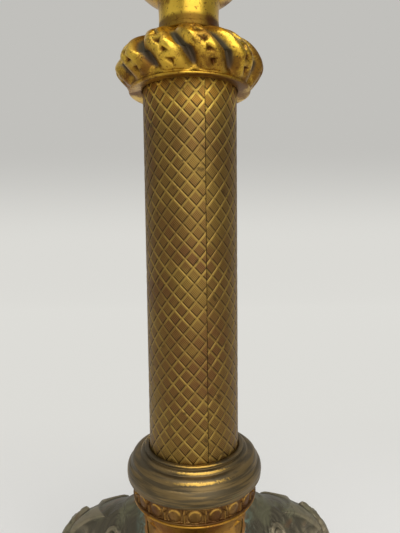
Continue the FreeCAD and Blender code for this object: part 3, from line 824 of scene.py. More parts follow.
@dataclass(frozen=True)
class DarkBronze:
    """Old dark casting: darker in the recesses of its carving, verdigris where damp has stood."""

    name: str
    body: Colour = shade(127, 117, 93)
    recess: Colour = shade(84, 78, 62)
    olive: Colour = shade(112, 110, 84)
    verdigris: Colour = shade(106, 126, 110)
    gold: Colour = shade(150, 106, 48)
    rust: Colour = shade(122, 84, 52)
    recess_reliefs: Range = (-0.08, -0.52)
    olive_clouds: Mottle = Mottle(70, 0.46, 0.66, detail=4, warp=0.8, most=0.7)
    curls: float = 26.0
    curl_scale: float = 52.0
    curl_warp: float = 2.2
    curl_stretch: Range = (0.20, 0.95)
    curl_clouds: Mottle = Mottle(58, 0.40, 0.58, least=0.35)
    curl_share: float = 0.60
    wet_clouds: Mottle = Mottle(240, 0.42, 0.60, detail=4, warp=1.0)
    rust_clouds: Mottle = Mottle(95, 0.60, 0.78, detail=4, warp=0.6, most=0.5)
    roughness: Range = (0.50, 0.85)
    metal: Range = (0.7, 0.1)
    grain_scale: float = 900.0
    grain_bump: Range = (0.35, 0.0003)
    curl_bump: Range = (0.5, 0.0004)

    def material(self) -> Material:
        """Build the finish.

        Returns:
            The material.
        """
        board = NodeBoard(self.name)
        wave = board.math("SINE", board.times(board.noise(self.curl_scale, 1.0, self.curl_warp), self.curls))
        curl = board.times(board.span(wave, *self.curl_stretch), board.mottled(self.curl_clouds))
        wet = board.times(board.reading("green"), board.mottled(self.wet_clouds))
        colour = board.blend(board.span(board.reading("relief"), *self.recess_reliefs), self.body, self.recess)
        for share, coat in (
            (board.mottled(self.olive_clouds), self.olive),
            (board.times(curl, self.curl_share), self.recess),
            (wet, self.verdigris),
            (board.mottled(self.rust_clouds), self.rust),
            (board.reading("gilded"), self.gold),
        ):
            colour = board.blend(share, colour, coat)
        rough, metal = board.between(wet, *self.roughness), board.between(wet, *self.metal)
        normal = board.bump(board.noise(self.grain_scale, 4), *self.grain_bump)
        normal = board.bump(board.math("SUBTRACT", 1.0, curl), *self.curl_bump, normal)
        return board.finish(colour, metal, rough, normal)


@dataclass(frozen=True)
class ForgedIron:
    """Blackened iron with a little rust."""

    name: str
    scale: Colour = shade(66, 62, 60)
    bright: Colour = shade(112, 108, 104)
    rust: Colour = shade(104, 62, 38)
    rust_clouds: Mottle = Mottle(110, 0.54, 0.70, detail=5, warp=0.5)
    rust_share: float = 0.75
    grain_scale: float = 1300.0
    bright_grain: Range = (0.45, 0.70)
    roughness: Range = (0.42, 0.80)
    metal: Range = (0.95, 0.25)
    grain_bump: Range = (0.4, 0.0003)

    def material(self) -> Material:
        """Build the finish.

        Returns:
            The material.
        """
        board = NodeBoard(self.name)
        grain = board.noise(self.grain_scale, 3)
        rusty = board.mottled(self.rust_clouds)
        colour = board.blend(board.span(grain, *self.bright_grain), self.scale, self.bright)
        colour = board.blend(board.times(rusty, self.rust_share), colour, self.rust)
        rough, metal = board.between(rusty, *self.roughness), board.between(rusty, *self.metal)
        return board.finish(colour, metal, rough, board.bump(grain, *self.grain_bump))


# Shaft


@dataclass
class ShaftSleeve:
    """The rolled sheet: pressed flat with a lattice of grooves, trimmed and bent round."""

    span: Span
    sheet: float = 0.001
    seam_bearing: float = math.radians(17.0)
    seam_gap: float = 0.0003
    cell_width: float = 0.00697
    falling_rise: float = 0.00733
    rising_rise: float = 0.00843
    falling_phase: float = 0.3375
    rising_phase: float = -0.0823
    phase_level: float = 0.252
    groove_depth: float = 0.0002
    cell_shares: Shares = (0.0, 0.02, 0.08, 0.105, 0.895, 0.92, 0.98)
    groove_shares: Shares = (1.0, 0.85, 0.08, 0.0, 0.0, 0.08, 0.85)
    spare_cells: float = 2.0
    # Where the top of the sheet is polished and painted with a highlight: its height, bearing and strength.
    rubbed_and_highlight_height: float = 0.022
    sleeve_highlight_bearing: float = math.radians(12.0)
    rubbed_and_highlight_gain: float = 1.5
    sharp_angle: float = math.radians(50.0)

    def lattice(self, along: Array, level: Array) -> tuple[Array, Array]:
        """How many grooves lie before places on the flat sheet.

        Args:
            along: Distance of the places along the way round.
            level: Their level.

        Returns:
            The number of falling and of rising grooves.
        """
        across = along / self.cell_width
        up = level - self.phase_level
        falling = across + up / self.falling_rise + self.falling_phase
        rising = across - up / self.rising_rise + self.rising_phase
        return falling, rising

    def unlattice(self, falling: Array, rising: Array) -> tuple[Array, Array]:
        """The places on the flat sheet where given grooves cross.

        Args:
            falling: Numbers of the falling grooves.
            rising: Numbers of the rising grooves.

        Returns:
            The distance along the way round, and the level.
        """
        first = falling - self.falling_phase
        second = rising - self.rising_phase
        up = (first - second) / (1 / self.falling_rise + 1 / self.rising_rise)
        along = (first - up / self.falling_rise) * self.cell_width
        return along, up + self.phase_level

    def flat_sheet(self, start: float, end: float) -> Board:
        """The pressed sheet before it is bent, with its relief along Y.

        Args:
            start: Where the sheet begins, along the way round.
            end: Where it ends.

        Returns:
            The trimmed mesh, with X along the way round and Z up.
        """
        foot, top = self.span.foot, self.span.top
        corners = np.array([(a, z) for a in (start, end) for z in (foot, top)])
        lines, cuts = [], []
        for reading in self.lattice(corners[:, 0], corners[:, 1]):
            whole = np.arange(math.floor(reading.min()), math.ceil(reading.max()) + 1)
            lines.append((whole[:, None] + np.array(self.cell_shares)[None, :]).ravel())
            cuts.append(np.tile(self.groove_shares, len(whole)))
        along, level = self.unlattice(lines[0][:, None], lines[1][None, :])
        depth = np.maximum(cuts[0][:, None], cuts[1][None, :]) * self.groove_depth
        points = np.stack([along, depth, level], -1)
        margin = self.spare_cells * self.cell_width
        inside = (along > start - margin) & (along < end + margin)
        inside &= (level > foot - margin) & (level < top + margin)
        board = bmesh.new()
        corner: dict[tuple[int, int], bmesh.types.BMVert] = {}
        for i, j in zip(*np.nonzero(inside)):
            corner[i, j] = board.verts.new(points[i, j])
        for i, j in corner:
            face = [(i, j), (i, j + 1), (i + 1, j + 1), (i + 1, j)]
            if all(place in corner for place in face):
                board.faces.new([corner[place] for place in face])
        trims = (
            ((start, 0, 0), (-1, 0, 0)),
            ((end, 0, 0), (1, 0, 0)),
            ((0, 0, foot), (0, 0, -1)),
            ((0, 0, top), (0, 0, 1)),
        )
        for place, outward in trims:
            everything = board.verts[:] + board.edges[:] + board.faces[:]
            bmesh.ops.bisect_plane(
                board, geom=everything, dist=TOUCHING, plane_co=place, plane_no=outward, clear_outer=True
            )
        return board

    def build(self, finish: Material) -> None:
        """Press, trim and roll the sheet, and hand it over.

        Args:
            finish: Its material.
        """
        radius = self.span.reach
        start = radius * self.seam_bearing + self.seam_gap / 2
        end = start + radius * FULL_TURN - self.seam_gap
        sleeve = piece_from("embossed_sleeve", self.flat_sheet(start, end))
        along, depth, level = corners_of(sleeve.data).T
        bearing = along / radius
        sleeve.data.vertices.foreach_set("co", around(radius - depth, bearing, level).ravel())
        sleeve.data.shade_smooth()
        falling, rising = self.lattice(along, level)
        note(sleeve, "falling", falling)
        note(sleeve, "rising", rising)
        note(sleeve, "relief", -depth / self.groove_depth)
        # Polish near the top, brightest towards the front: partly real polish and partly painted highlight.
        side = 0.5 + 0.5 * np.cos(bearing - self.sleeve_highlight_bearing)
        high = np.clip(self.rubbed_and_highlight_gain * (1 - (self.span.top - level) / self.rubbed_and_highlight_height), 0, 1)
        note(sleeve, "rubbed_and_highlight", side**2 * high)
        thicken(sleeve, self.sheet)
        sleeve.data.set_sharp_from_angle(angle=self.sharp_angle)
        hand_over(sleeve, finish, Slot.EMBOSSED, "shaft_sleeve")


# Knop


@dataclass
class TurbanKnop:
    """The twisted knop with a row of punched notches along each lobe, and the spool above it."""

    span: Span
    spool: Span
    crest_radius: float = 0.0362
    groove: float = 0.0054
    fullness: float = 2.8
    lobe_share: float = 0.93
    lobes: int = 11
    lobe_bearing: float = math.radians(-4.2)
    twist: float = math.radians(26.0)
    widest_share: float = 0.404
    rim_radius: float = 0.0294
    rim_height: float = 0.0015
    rim_bevel: float = 0.6
    socket_radius: float = 0.02315
    socket_depth: float = 0.004
    bore_radius: float = 0.019
    rod_hole: float = 0.0044
    web: float = 0.005
    channel_half: float = 0.0026
    channel_depth: float = 0.0006
    notch_inset: float = 0.0016
    notch_depth: float = 0.0017
    notch_pace: float = 0.0056
    notched_share: Range = (0.10, 0.90)
    notch_stain: float = 1.6
    # Painted shade on the rim's underside, darkest towards the front, and painted shade low on the lobes.
    shaded_side: float = math.radians(15.0)
    shade_least: float = 0.08
    shade_more: float = 0.87
    underside_reach: float = 0.97
    underside_top: float = 0.9
    low_shade: float = 0.42
    low_top: float = 0.42
    low_fade: float = 0.28
    # Painted highlight on the crests of the left lobes: its side, strength, width, level and reach.
    highlight_side: float = math.radians(48.0)
    painted_highlight: float = 0.8
    highlight_half: float = 0.75
    highlight_level: float = 0.48
    highlight_reach: float = 0.34
    fillet_share: float = 0.15
    fillet_step: float = 0.0002
    # Painted shade on the fillet at the foot of the spool.
    fillet_shaded: float = 0.85
    shaded_fillets: float = 2.6
    shade_edge: float = 0.0018
    spool_waist: float = 0.99
    spool_bow: float = 0.03
    outline_steps: int = 31
    run_steps: int = 61
    knop_columns: int = 720
    spool_columns: int = 160
    level_shares: Shares = (0.030, 0.094, 0.226, 0.404, 0.536, 0.672, 0.785, 0.872, 0.940, 0.985)
    crest_shares: Shares = (0.800, 0.855, 0.940, 1.000, 0.970, 0.905, 0.815, 0.695, 0.560, 0.445)
    depth_shares: Shares = (0.20, 0.60, 0.95, 1.00, 1.00, 0.95, 0.80, 0.60, 0.40, 0.20)

    def crest(self, share: Array) -> Array:
        """Radius over the crests of the lobes at given shares of the height."""
        return curve_through(np.array(self.level_shares), np.array(self.crest_shares), share) * self.crest_radius

    def outline(self) -> Outline:
        """The knop's outline over the crests of its lobes.

        Returns:
            The outline, from the edge of the socket round to its floor.
        """
        foot, top = self.span.foot, self.span.top
        rim_top = foot + self.rim_height
        outline = Outline(self.socket_radius, foot + self.rim_height / 2)
        outline.line(self.socket_radius + (self.rim_radius - self.socket_radius) * self.rim_bevel, foot)
        outline.line(self.rim_radius, foot).arc(self.rim_radius, rim_top, QUARTER_SHARE, pace=CARVED_PACE)
        shares = np.linspace(self.level_shares[0], self.level_shares[-1], self.outline_steps)
        radii = self.crest(shares)
        outline.line(float(radii[0]), rim_top)
        for share, radius in zip(shares[1:], radii[1:]):
            outline.line(float(radius), self.span.level(float(share)), carved=True)
        outline.line(self.spool.reach, self.span.level(self.level_shares[-1]))
        outline.line(self.spool.reach, top).hidden(self.rod_hole, top)
        outline.hidden(self.rod_hole, top - self.web).hidden(self.bore_radius, top - self.web)
        outline.hidden(self.bore_radius, foot + self.socket_depth)
        return outline.line(self.socket_radius, foot + self.socket_depth)

    def lobe_place(self, turn: Turn) -> tuple[Array, Array]:
        """Where points lie on their lobes.

        Args:
            turn: The points.

        Returns:
            The share of the knop's height, and the place across the lobe from -1 to 1.
        """
        up = (turn.height - self.span.foot) / self.span.height
        turns = (turn.bearing - self.lobe_bearing - self.twist * (self.widest_share - up)) * self.lobes / FULL_TURN
        return up, 2 * (turns - np.floor(turns)) - 1

    def sideways(self, turn: Turn, across: Array) -> Array:
        """Distance of points from the middle of their lobes, given their place across."""
        return across * math.pi / self.lobes * turn.radius

    def lobe_run(self, up: Array) -> Array:
        """Distance along a lobe from its foot.

        Args:
            up: Shares of the knop's height.

        Returns:
            The distance to each.
        """
        shares = np.linspace(self.level_shares[0], self.level_shares[-1], self.run_steps)
        radii = self.crest(shares)
        rise = np.diff(shares) * self.span.height
        sideways = np.diff(shares) * self.twist * radii[1:]
        steps = np.sqrt(np.diff(radii) ** 2 + rise**2 + sideways**2)
        return np.interp(up, shares, np.concatenate([[0.0], np.cumsum(steps)]))

    def notches(self, turn: Turn) -> Array:
        """How deep points lie in the three-sided notches.

        Args:
            turn: The points.

        Returns:
            The depth, from 0 outside to 1 at the bottom.
        """
        up, across = self.lobe_place(turn)
        sideways = self.sideways(turn, across)
        run = self.lobe_run(up)
        number = np.round(run / self.notch_pace)
        along = (run - number * self.notch_pace) * np.where(number % 2, 1, -1)
        sides = [along * math.cos(a) + sideways * math.sin(a) for a in (0.0, THIRD_TURN, -THIRD_TURN)]
        low, high = self.notched_share
        return np.clip(1 - np.maximum.reduce(sides) / self.notch_inset, 0, 1) * ((up > low) & (up < high))

    def stained_notches(self, turn: Turn) -> Array:
        """How far points are stained by the notches, from 0 to 1."""
        return np.clip(self.notches(turn) * self.notch_stain, 0, 1)

    def carving(self, turn: Turn) -> Array:
        """The grooves between the lobes, and the channel and the notches along each.

        Args:
            turn: The points.

        Returns:
            How far each is raised over the crests, which is never above zero.
        """
        up, across = self.lobe_place(turn)
        depth = self.groove * curve_through(np.array(self.level_shares), np.array(self.depth_shares), up)
        channel = self.channel_depth * ridge(self.sideways(turn, across), self.channel_half)
        cut = np.minimum(np.abs(across) / self.lobe_share, 1) ** self.fullness
        return -depth * cut - channel - self.notch_depth * self.notches(turn)

    def knop_stain_and_shade(self, turn: Turn) -> Array:
        """Tarnish in the notches, with painted shade low on the lobes and on the flat underside of the rim, darkest at
        the front.

        Args:
            turn: The points.

        Returns:
            How far each is stained, from 0 to 1.
        """
        up, _ = self.lobe_place(turn)
        lip = np.clip((self.span.foot + self.rim_height / 2 - turn.height) / self.rim_height * 4, 0, 1)
        bevel = turn.radius < self.rim_radius * self.underside_reach
        bevel = bevel & (turn.height < self.span.foot + self.rim_height * self.underside_top)
        # Painted shade under the rim, darkest towards the front.
        soil_and_shade = self.shade_least + self.shade_more * np.clip(np.cos(turn.bearing - self.shaded_side), 0, 1) ** 2
        # Painted shade low on the lobes.
        low = self.low_shade * np.clip((self.low_top - up) / self.low_fade, 0, 1) * turn.carved
        return np.maximum(np.maximum(self.stained_notches(turn), np.maximum(lip, bevel) * soil_and_shade), low)

    def knop_highlight(self, turn: Turn) -> Array:
        """Painted highlight on the crests of the lobes at the left, mid-way up.

        Args:
            turn: The points.

        Returns:
            How bright each is, from 0 to 1.
        """
        up, across = self.lobe_place(turn)
        left = np.clip(np.cos(turn.bearing + self.highlight_side), 0, 1) ** 3
        crest = np.clip(1 - (across / self.highlight_half) ** 2, 0, 1)
        crest = crest * np.clip(1 - ((up - self.highlight_level) / self.highlight_reach) ** 2, 0, 1)
        return self.painted_highlight * left * crest * turn.carved * (1 - self.stained_notches(turn))

    def fillet_shade(self, turn: Turn) -> Array:
        """How far points on the fillet at the foot of the spool are darkened with painted shade."""
        edge = self.spool.level(self.fillet_share * self.shaded_fillets)
        return self.fillet_shaded * np.clip((edge - turn.height) / self.shade_edge, 0, 1)

    def build(self, finish: Material, spool_finish: Material) -> None:
        """Make the knop and the spool, and hand them over.

        Args:
            finish: Material of the knop.
            spool_finish: Material of the spool.
        """
        # The stain mark lays tarnish in the notches and painted shade under the rim and low on the lobes; the highlight
        # mark lays a painted highlight on the left lobes.
        marks = {"stain_and_shade": self.knop_stain_and_shade, "painted_highlight": self.knop_highlight}
        knop = turned(
            "turban_knop_cast", self.outline(), self.knop_columns, self.carving, depth=self.groove, softening=1,
            marks=marks,
        )
        hand_over(knop, finish, Slot.GILT, "turban_knop")
        reach = self.spool.reach
        neck = reach * self.spool_waist
        low, high = self.spool.level(self.fillet_share), self.spool.level(1 - self.fillet_share)
        outline = Outline(self.rod_hole, self.spool.foot).hidden(reach, self.spool.foot)
        outline.line(reach, low).line(reach - self.fillet_step, low)
        outline.arc(neck - self.fillet_step, high, -self.spool_bow)
        outline.line(neck, high).line(neck, self.spool.top).hidden(self.rod_hole, self.spool.top)
        # The stain mark here is painted shade at the foot of the spool.
        spool = turned("spool_turned", outline, self.spool_columns, softening=1, marks={"stain_and_shade": self.fillet_shade})
        hand_over(spool, spool_finish, Slot.GILT, "spool")


# Collar, egg band and neck


@dataclass
class LowerMouldings:
    """The turned collar under the sleeve, the band of eggs and the gilt neck of the base."""

    collar: Span
    band: Span
    neck: Span
    crown: float
    socket_radius: float = 0.02315
    collar_lip: float = 0.0018
    socket_depth: float = 0.004
    bore_radius: float = 0.019
    register_radius: float = 0.0227
    register_play: float = 0.0003
    rod_hole: float = 0.0044
    collar_columns: int = 200
    dent_depth: float = 0.00006
    dent_waves: tuple[Range, Range] = ((7, 900), (3, -1500))
    # Gold on the upper lips of the collar, partly wear and partly painted highlight, most at the front and on two other
    # sides.
    collar_highlight_bearing: float = math.radians(8.0)
    wear_and_highlight_sides: int = 3
    wear_and_highlight_middle: float = 0.45
    wear_and_highlight_shares: tuple[tuple[float, float, float], ...] = ((0.98, 0.03, 0.9), (0.84, 0.035, 1.0), (0.68, 0.06, 0.75))
    collar_shares: tuple[tuple[float, float, float], ...] = (
        (0.94, 0.00, 0.0),
        (1.00, 0.11, QUARTER_SHARE),
        (0.90, 0.49, SOFT_SHARE),
        (0.84, 0.49, 0.0),
        (0.84, 0.55, 0.0),
        (0.80, 0.56, 0.0),
        (0.38, 0.77, QUARTER_SHARE),
        (0.30, 0.77, 0.0),
        (0.14, 0.88, QUARTER_SHARE),
        (0.03, 0.88, 0.0),
        (0.03, 0.93, 0.0),
        (0.08, 0.93, 0.0),
        (0.08, 1.00, 0.0),
    )
    eggs: int = 20
    egg_half_width: float = 0.0033
    egg_half_height: float = 0.0036
    egg_level: float = 0.42
    egg_depth: float = 0.0010
    shell_rise: float = 0.0004
    shell_place: float = 0.55
    shell_half: float = 0.25
    dart_height: float = 0.0009
    dart_half: float = 0.0005
    bead_radius: float = 0.0011
    bead_lift: float = 2.2
    egg_sinking: float = 0.0005
    # Painted highlight on the upper edge of each egg and on the bars.
    highlight_place: float = 0.70
    highlight_half: float = 0.15
    highlight_rise: float = 0.35
    bar_highlight: float = 0.35
    bar_half: float = 0.0003
    band_step: float = 0.96
    band_levels: Range = (0.10, 0.90)
    band_bow: float = 0.06
    band_relief: float = 0.0012
    band_columns: int = 640
    leaves: int = 3
    leaf_pace: float = 0.0042
    leaf_rise: float = 0.0011
    ruffle_rise: float = 0.0005
    edge_place: float = 0.86
    edge_sway: float = 0.05
    edge_soft: float = 0.05
    edge_stain: float = 0.45
    notch_half: float = 0.0030
    notch_slope: float = 0.6
    notch_soft: float = 0.0010
    notch_depth: float = 0.0008
    neck_foot_radius: float = 0.0249
    neck_lip: float = 0.0316
    neck_lip_height: float = 0.0015
    throat_share: float = 0.30
    neck_floor: float = 0.004
    neck_columns: int = 480

    def build_collar(self, finish: Material) -> None:
        """Make the collar from its run of mouldings.

        Args:
            finish: Its material.
        """
        lip = self.socket_radius + self.collar_lip
        outline = Outline(self.register_radius, self.collar.foot)
        for across, up, bulge in self.collar_shares:
            radius = lip + (self.collar.reach - lip) * across
            outline.arc(radius, self.collar.level(up), bulge, carved=True, pace=CARVED_PACE)
        seat = self.collar.top - self.socket_depth
        outline.line(self.socket_radius, self.collar.top).line(self.socket_radius, seat)
        outline.hidden(self.bore_radius, seat).hidden(self.bore_radius, self.collar.foot)
        # The wear mark is partly wear and partly painted highlight.
        marks = {"wear": self.collar_wear_and_highlight}
        collar = turned("collar_turned", outline, self.collar_columns, self.collar_dents, softening=2, marks=marks)
        hand_over(collar, finish, Slot.DARK, "lower_collar")

    def collar_dents(self, turn: Turn) -> Array:
        """Slight dents of long use round the mouldings."""
        first, second = (np.sin(turn.bearing * turns + turn.height * rise) for turns, rise in self.dent_waves)
        return first * second * self.dent_depth

    def collar_wear_and_highlight(self, turn: Turn) -> Array:
        """How far the skin is rubbed through to gold along the three upper lips, most on three sides with one at the
        front; the gold is partly wear and partly painted highlight.

        Args:
            turn: The points.

        Returns:
            The wear of each.
        """
        up = (turn.height - self.collar.foot) / self.collar.height
        wave = np.cos((turn.bearing - self.collar_highlight_bearing) * self.wear_and_highlight_sides)
        lips = sum(share * ridge(up - level, width) for level, width, share in self.wear_and_highlight_shares)
        return lips * (self.wear_and_highlight_middle + (1 - self.wear_and_highlight_middle) * wave)

    def egg_place(self, turn: Turn) -> tuple[Array, Array, Array]:
        """Where points lie round the nearest egg.

        Args:
            turn: The points.

        Returns:
            The distance sideways and upward from its middle, and the distance from the bar beside it.
        """
        step = FULL_TURN / self.eggs
        turns = turn.bearing / step
        sideways = (turns - np.round(turns)) * step * turn.radius
        upward = turn.height - self.band.level(self.egg_level)
        return sideways, upward, step * turn.radius / 2 - np.abs(sideways)

    def egg_relief(self, turn: Turn) -> Array:
        """Eggs in their shells, with a bar and a bead between each pair.

        Args:
            turn: The points.

        Returns:
            How far each is raised.
        """
        sideways, upward, gap = self.egg_place(turn)
        dome = 1 - (sideways / self.egg_half_width) ** 2 - (upward / self.egg_half_height) ** 2
        relief = self.egg_depth * np.sqrt(np.clip(dome, 0, 1))
        relief += self.shell_rise * ridge(dome + self.shell_place, self.shell_half)
        raised = upward - self.bead_radius * self.bead_lift
        bead = 1 - (gap / self.bead_radius) ** 2 - (raised / self.bead_radius) ** 2
        relief += self.bead_radius * np.sqrt(np.clip(bead, 0, 1))
        return relief + self.dart_height * ridge(gap, self.dart_half) - self.egg_sinking

    def egg_highlight(self, turn: Turn) -> Array:
        """Painted highlight on the upper edge of each egg and on the bars.

        Args:
            turn: The points.

        Returns:
            The brightness of each, from 0 to 1.
        """
        sideways, upward, gap = self.egg_place(turn)
        upward = upward / self.egg_half_height
        ring = ridge((sideways / self.egg_half_width) ** 2 + upward**2 - self.highlight_place, self.highlight_half)
        bar = self.bar_highlight * ridge(gap, self.bar_half)
        return np.maximum(ring * np.clip(upward / self.highlight_rise, 0, 1), bar) * turn.carved

    def build_band(self, finish: Material) -> None:
        """Make the ring of eggs.

        Args:
            finish: Its material.
        """
        reach, foot, top = self.band.reach, self.band.foot, self.band.top
        foot_radius = reach * self.band_step
        hollow = reach - self.egg_depth
        low, high = (self.band.level(share) for share in self.band_levels)
        outline = Outline(self.register_radius, foot).hidden(foot_radius, foot).line(foot_radius, low)
        outline.line(hollow * self.band_step, low).arc(hollow, high, -self.band_bow, carved=True, pace=CARVED_PACE)
        outline.line(reach, high).line(reach, top).hidden(self.register_radius, top)
        # The highlight mark lays a painted highlight on the eggs' upper edges and on the bars.
        band = turned(
            "egg_band_cast", outline, self.band_columns, self.egg_relief, depth=self.band_relief, softening=1,
            marks={"painted_highlight": self.egg_highlight},
        )
        hand_over(band, finish, Slot.GILT, "egg_band")

    def leaf_place(self, turn: Turn) -> Array:
        """How far points lie from the middle of the nearest leaf, in leaves."""
        turns = turn.bearing / FULL_TURN * self.leaves
        return np.abs(turns - np.round(turns))

    def ruffle(self, turn: Turn) -> Array:
        """The wave of the ruffled edges, from -1 to 1."""
        return np.cos(FULL_TURN * turn.height / self.leaf_pace)

    def leaf_edge(self, turn: Turn) -> Array:
        """How far points lie in the ruffled edge between two leaves, from 0 to 1."""
        inside = self.leaf_place(turn) * 2 - self.edge_place - self.edge_sway * self.ruffle(turn)
        return np.clip(inside / self.edge_soft, 0, 1)

    def leaf_notch(self, turn: Turn) -> Array:
        """How far points lie in the notch at the foot of each leaf.

        Args:
            turn: The points.

        Returns:
            The share of each, from 0 to 1.
        """
        sideways = self.leaf_place(turn) * FULL_TURN / self.leaves * turn.radius
        inside = self.notch_half - sideways - self.notch_slope * (turn.height - self.crown)
        return np.clip(inside / self.notch_soft, 0, 1)

    def leaf_relief(self, turn: Turn) -> Array:
        """Broad leaves with ruffled edges and a notch at the foot of each."""
        rise = self.leaf_rise + self.ruffle_rise * self.ruffle(turn)
        return rise * self.leaf_edge(turn) - self.notch_depth * self.leaf_notch(turn)

    def leaf_stain(self, turn: Turn) -> Array:
        """Red tarnish in the notches and along the ruffled edges."""
        return np.maximum(self.leaf_notch(turn), self.edge_stain * self.leaf_edge(turn))

    def build_neck(self, finish: Material) -> None:
        """Make the gilt neck with its leaves.

        Args:
            finish: Its material.
        """
        lip, foot = self.neck_lip, self.neck_foot_radius
        lip_foot = self.band.foot - self.neck_lip_height
        throat = lip + (foot - lip) * self.throat_share
        register = self.register_radius - self.register_play
        floor = self.neck.foot + self.neck_floor
        outline = Outline(self.rod_hole, self.neck.foot).hidden(foot, self.neck.foot).hidden(foot, self.crown)
        outline.arc(throat, lip_foot, -FAINT_SHARE, carved=True, pace=CARVED_PACE)
        outline.line(lip, lip_foot).arc(lip, self.band.foot, QUARTER_SHARE)
        outline.hidden(register, self.band.foot).hidden(register, self.neck.top)
        outline.hidden(self.bore_radius, self.neck.top).hidden(self.bore_radius, floor).hidden(self.rod_hole, floor)
        marks = {"stain_and_shade": self.leaf_stain}
        neck = turned("leafed_neck", outline, self.neck_columns, self.leaf_relief, softening=1, marks=marks)
        hand_over(neck, finish, Slot.GILT, "base_neck")


# Base and feet


@dataclass
class TripodBase:
    """The hollow three-sided casting with carved shoulders and arched sides."""

    span: Span
    crest: float = 0.0943
    face: float = 0.048
    corner: float = 0.0165
    wall: float = 0.0036
    seat_radius: float = 0.0252
    seat_depth: float = 0.020
    seat_edge: float = 0.0002
    deck: float = 0.006
    rod_hole: float = 0.0044
    arch_radius: float = 0.044
    arch_rise: float = 0.013
    corner_columns: int = 64
    side_columns: int = 120
    outer_rows: int = 220
    inner_rows: int = 24
    crown_lowest: float = 0.7
    crown_steps: int = 300
    carving_rise: float = 0.0016
    carving_edge: float = 0.0010
    scroll_band: float = 0.0028
    eye_share: float = 0.34
    coils: int = 2
    coil_pitch: float = 0.38
    coil_taper: float = 0.3
    scrolls: tuple[tuple[Point, float], ...] = (((0.25, 0.790), 0.008), ((0.58, 0.385), 0.012))
    fronds: tuple[tuple[Point, Point, float, float], ...] = (
        ((0.36, 0.855), (0.80, 0.640), 0.20, 0.09),
        ((0.38, 0.740), (0.78, 0.535), 0.16, 0.05),
        ((0.24, 0.690), (0.56, 0.545), 0.02, -0.10),
    )
    leaf_half: float = 0.018
    leaf_levels: tuple[float, float, float] = (0.20, 0.52, 0.77)
    leaf_side: float = 0.14
    leaf_ruffle: float = 0.10
    vein_pace: float = 0.0085
    vein_slope: float = 0.9
    vein_rise: float = 0.0003
    midrib_rise: float = 0.0007
    midrib_half: float = 0.0012
    swirl_pace: float = 0.0062
    swirl_rise: float = 0.00025
    swirl_sway: float = 0.009
    swirl_bend: float = 2.0
    swirl_fade: float = 0.5
    sway_waves: Range = (150.0, 90.0)
    lift_waves: Range = (140.0, 110.0)
    saddle: float = 0.0012
    saddle_share: float = 0.86
    saddle_half: float = 0.10
    gilded_radius: float = 0.0272
    gilded_ruffle: float = 0.0005
    green_width: float = 0.006
    top_fade: float = 0.03
    foot_fade: float = 0.06
    level_shares: Shares = (0.0, 0.154, 0.346, 0.532, 0.687, 0.770, 0.934, 1.0)
    ridge_shares: Shares = (0.880, 0.887, 0.981, 1.0, 0.870, 0.726, 0.281, 0.091)
    face_shares: Shares = (1.0, 0.917, 0.896, 0.875, 0.813, 0.740, 0.479, 0.354)
    corner_shares: Shares = (0.909, 0.879, 0.940, 1.0, 0.970, 0.879, 0.576, 0.424)

    @property
    def column_count(self) -> int:
        """Number of columns round the casting."""
        return len(LEG_BEARINGS) * (self.corner_columns + self.side_columns)

    def columns(self) -> tuple[Array, Array, Array]:
        """Which leg, which stretch and which place on it each column of the mesh has.

        Returns:
            The bearing of the leg, 1 on a side and 0 on a corner, and the place from -1 to 1.
        """
        legs, sides, places = [], [], []
        for bearing in LEG_BEARINGS.values():
            for side, count in ((0, self.corner_columns), (1, self.side_columns)):
                share = (np.arange(count) + 0.5) / count * 2 - 1
                legs.append(np.full(count, bearing))
                sides.append(np.full(count, side))
                places.append(share)
        return np.concatenate(legs), np.concatenate(sides), np.concatenate(places)

    def ring(self, ridge_at: Array, face_at: Array, corner_at: Array) -> Array:
        """Points of the three-sided section, in plan.

        Args:
            ridge_at: Distance from the axis to a corner's tip, for each row and column.
            face_at: Distance to the middle of a side.
            corner_at: Radius of a corner.

        Returns:
            X and Y of each point.
        """
        leg, side, place = self.columns()
        cosine, sine = math.cos(SIXTH_TURN), math.sin(SIXTH_TURN)
        reach = ridge_at - corner_at
        land = face_at - corner_at
        bend = (2 * land - reach) / (land**2 - reach**2)
        way_x = cosine - reach * bend
        way_y = sine
        length = np.hypot(way_x, way_y)
        turn = np.arctan2(way_y, way_x) * place
        corner_x = reach + corner_at * np.cos(turn)
        corner_y = corner_at * np.sin(turn)
        join_x = reach + corner_at * way_x / length
        join_y = corner_at * way_y / length
        inward = join_x * cosine + join_y * sine
        half = join_x * sine - join_y * cosine
        rise = face_at - inward
        angle = 2 * np.arctan(rise / half)
        angle = np.where(np.abs(angle) < LEAST_ANGLE, LEAST_ANGLE, angle)
        out = inward + rise - half * (1 - np.cos(angle * place)) / np.sin(angle)
        over = half * np.sin(angle * place) / np.sin(angle)
        side_x = out * cosine - over * sine
        side_y = out * sine + over * cosine
        x = np.where(side, side_x, corner_x)
        y = np.where(side, side_y, corner_y)
        return np.stack([x * np.sin(leg) + y * np.cos(leg), -x * np.cos(leg) + y * np.sin(leg)], -1)

    def skin(self, level: Array, inset: float = 0.0) -> Array:
        """Points of the outside at given levels, drawn in by an inset.

        Args:
            level: Level of each point, one row for each ring and one column for each place round it.
            inset: How far inside the outside the points lie.

        Returns:
            The points.
        """
        share = (level - self.span.foot) / self.span.height
        knots = np.array(self.level_shares)
        tip = curve_through(knots, np.array(self.ridge_shares), share)
        tip = self.seat_radius + (self.crest - self.seat_radius) * tip
        face = curve_through(knots, np.array(self.face_shares), share) * self.face
        corner = curve_through(knots, np.array(self.corner_shares), share) * self.corner
        plan = self.ring(tip - inset, face - inset, corner - inset)
        return np.concatenate([plan, level[..., None]], -1)

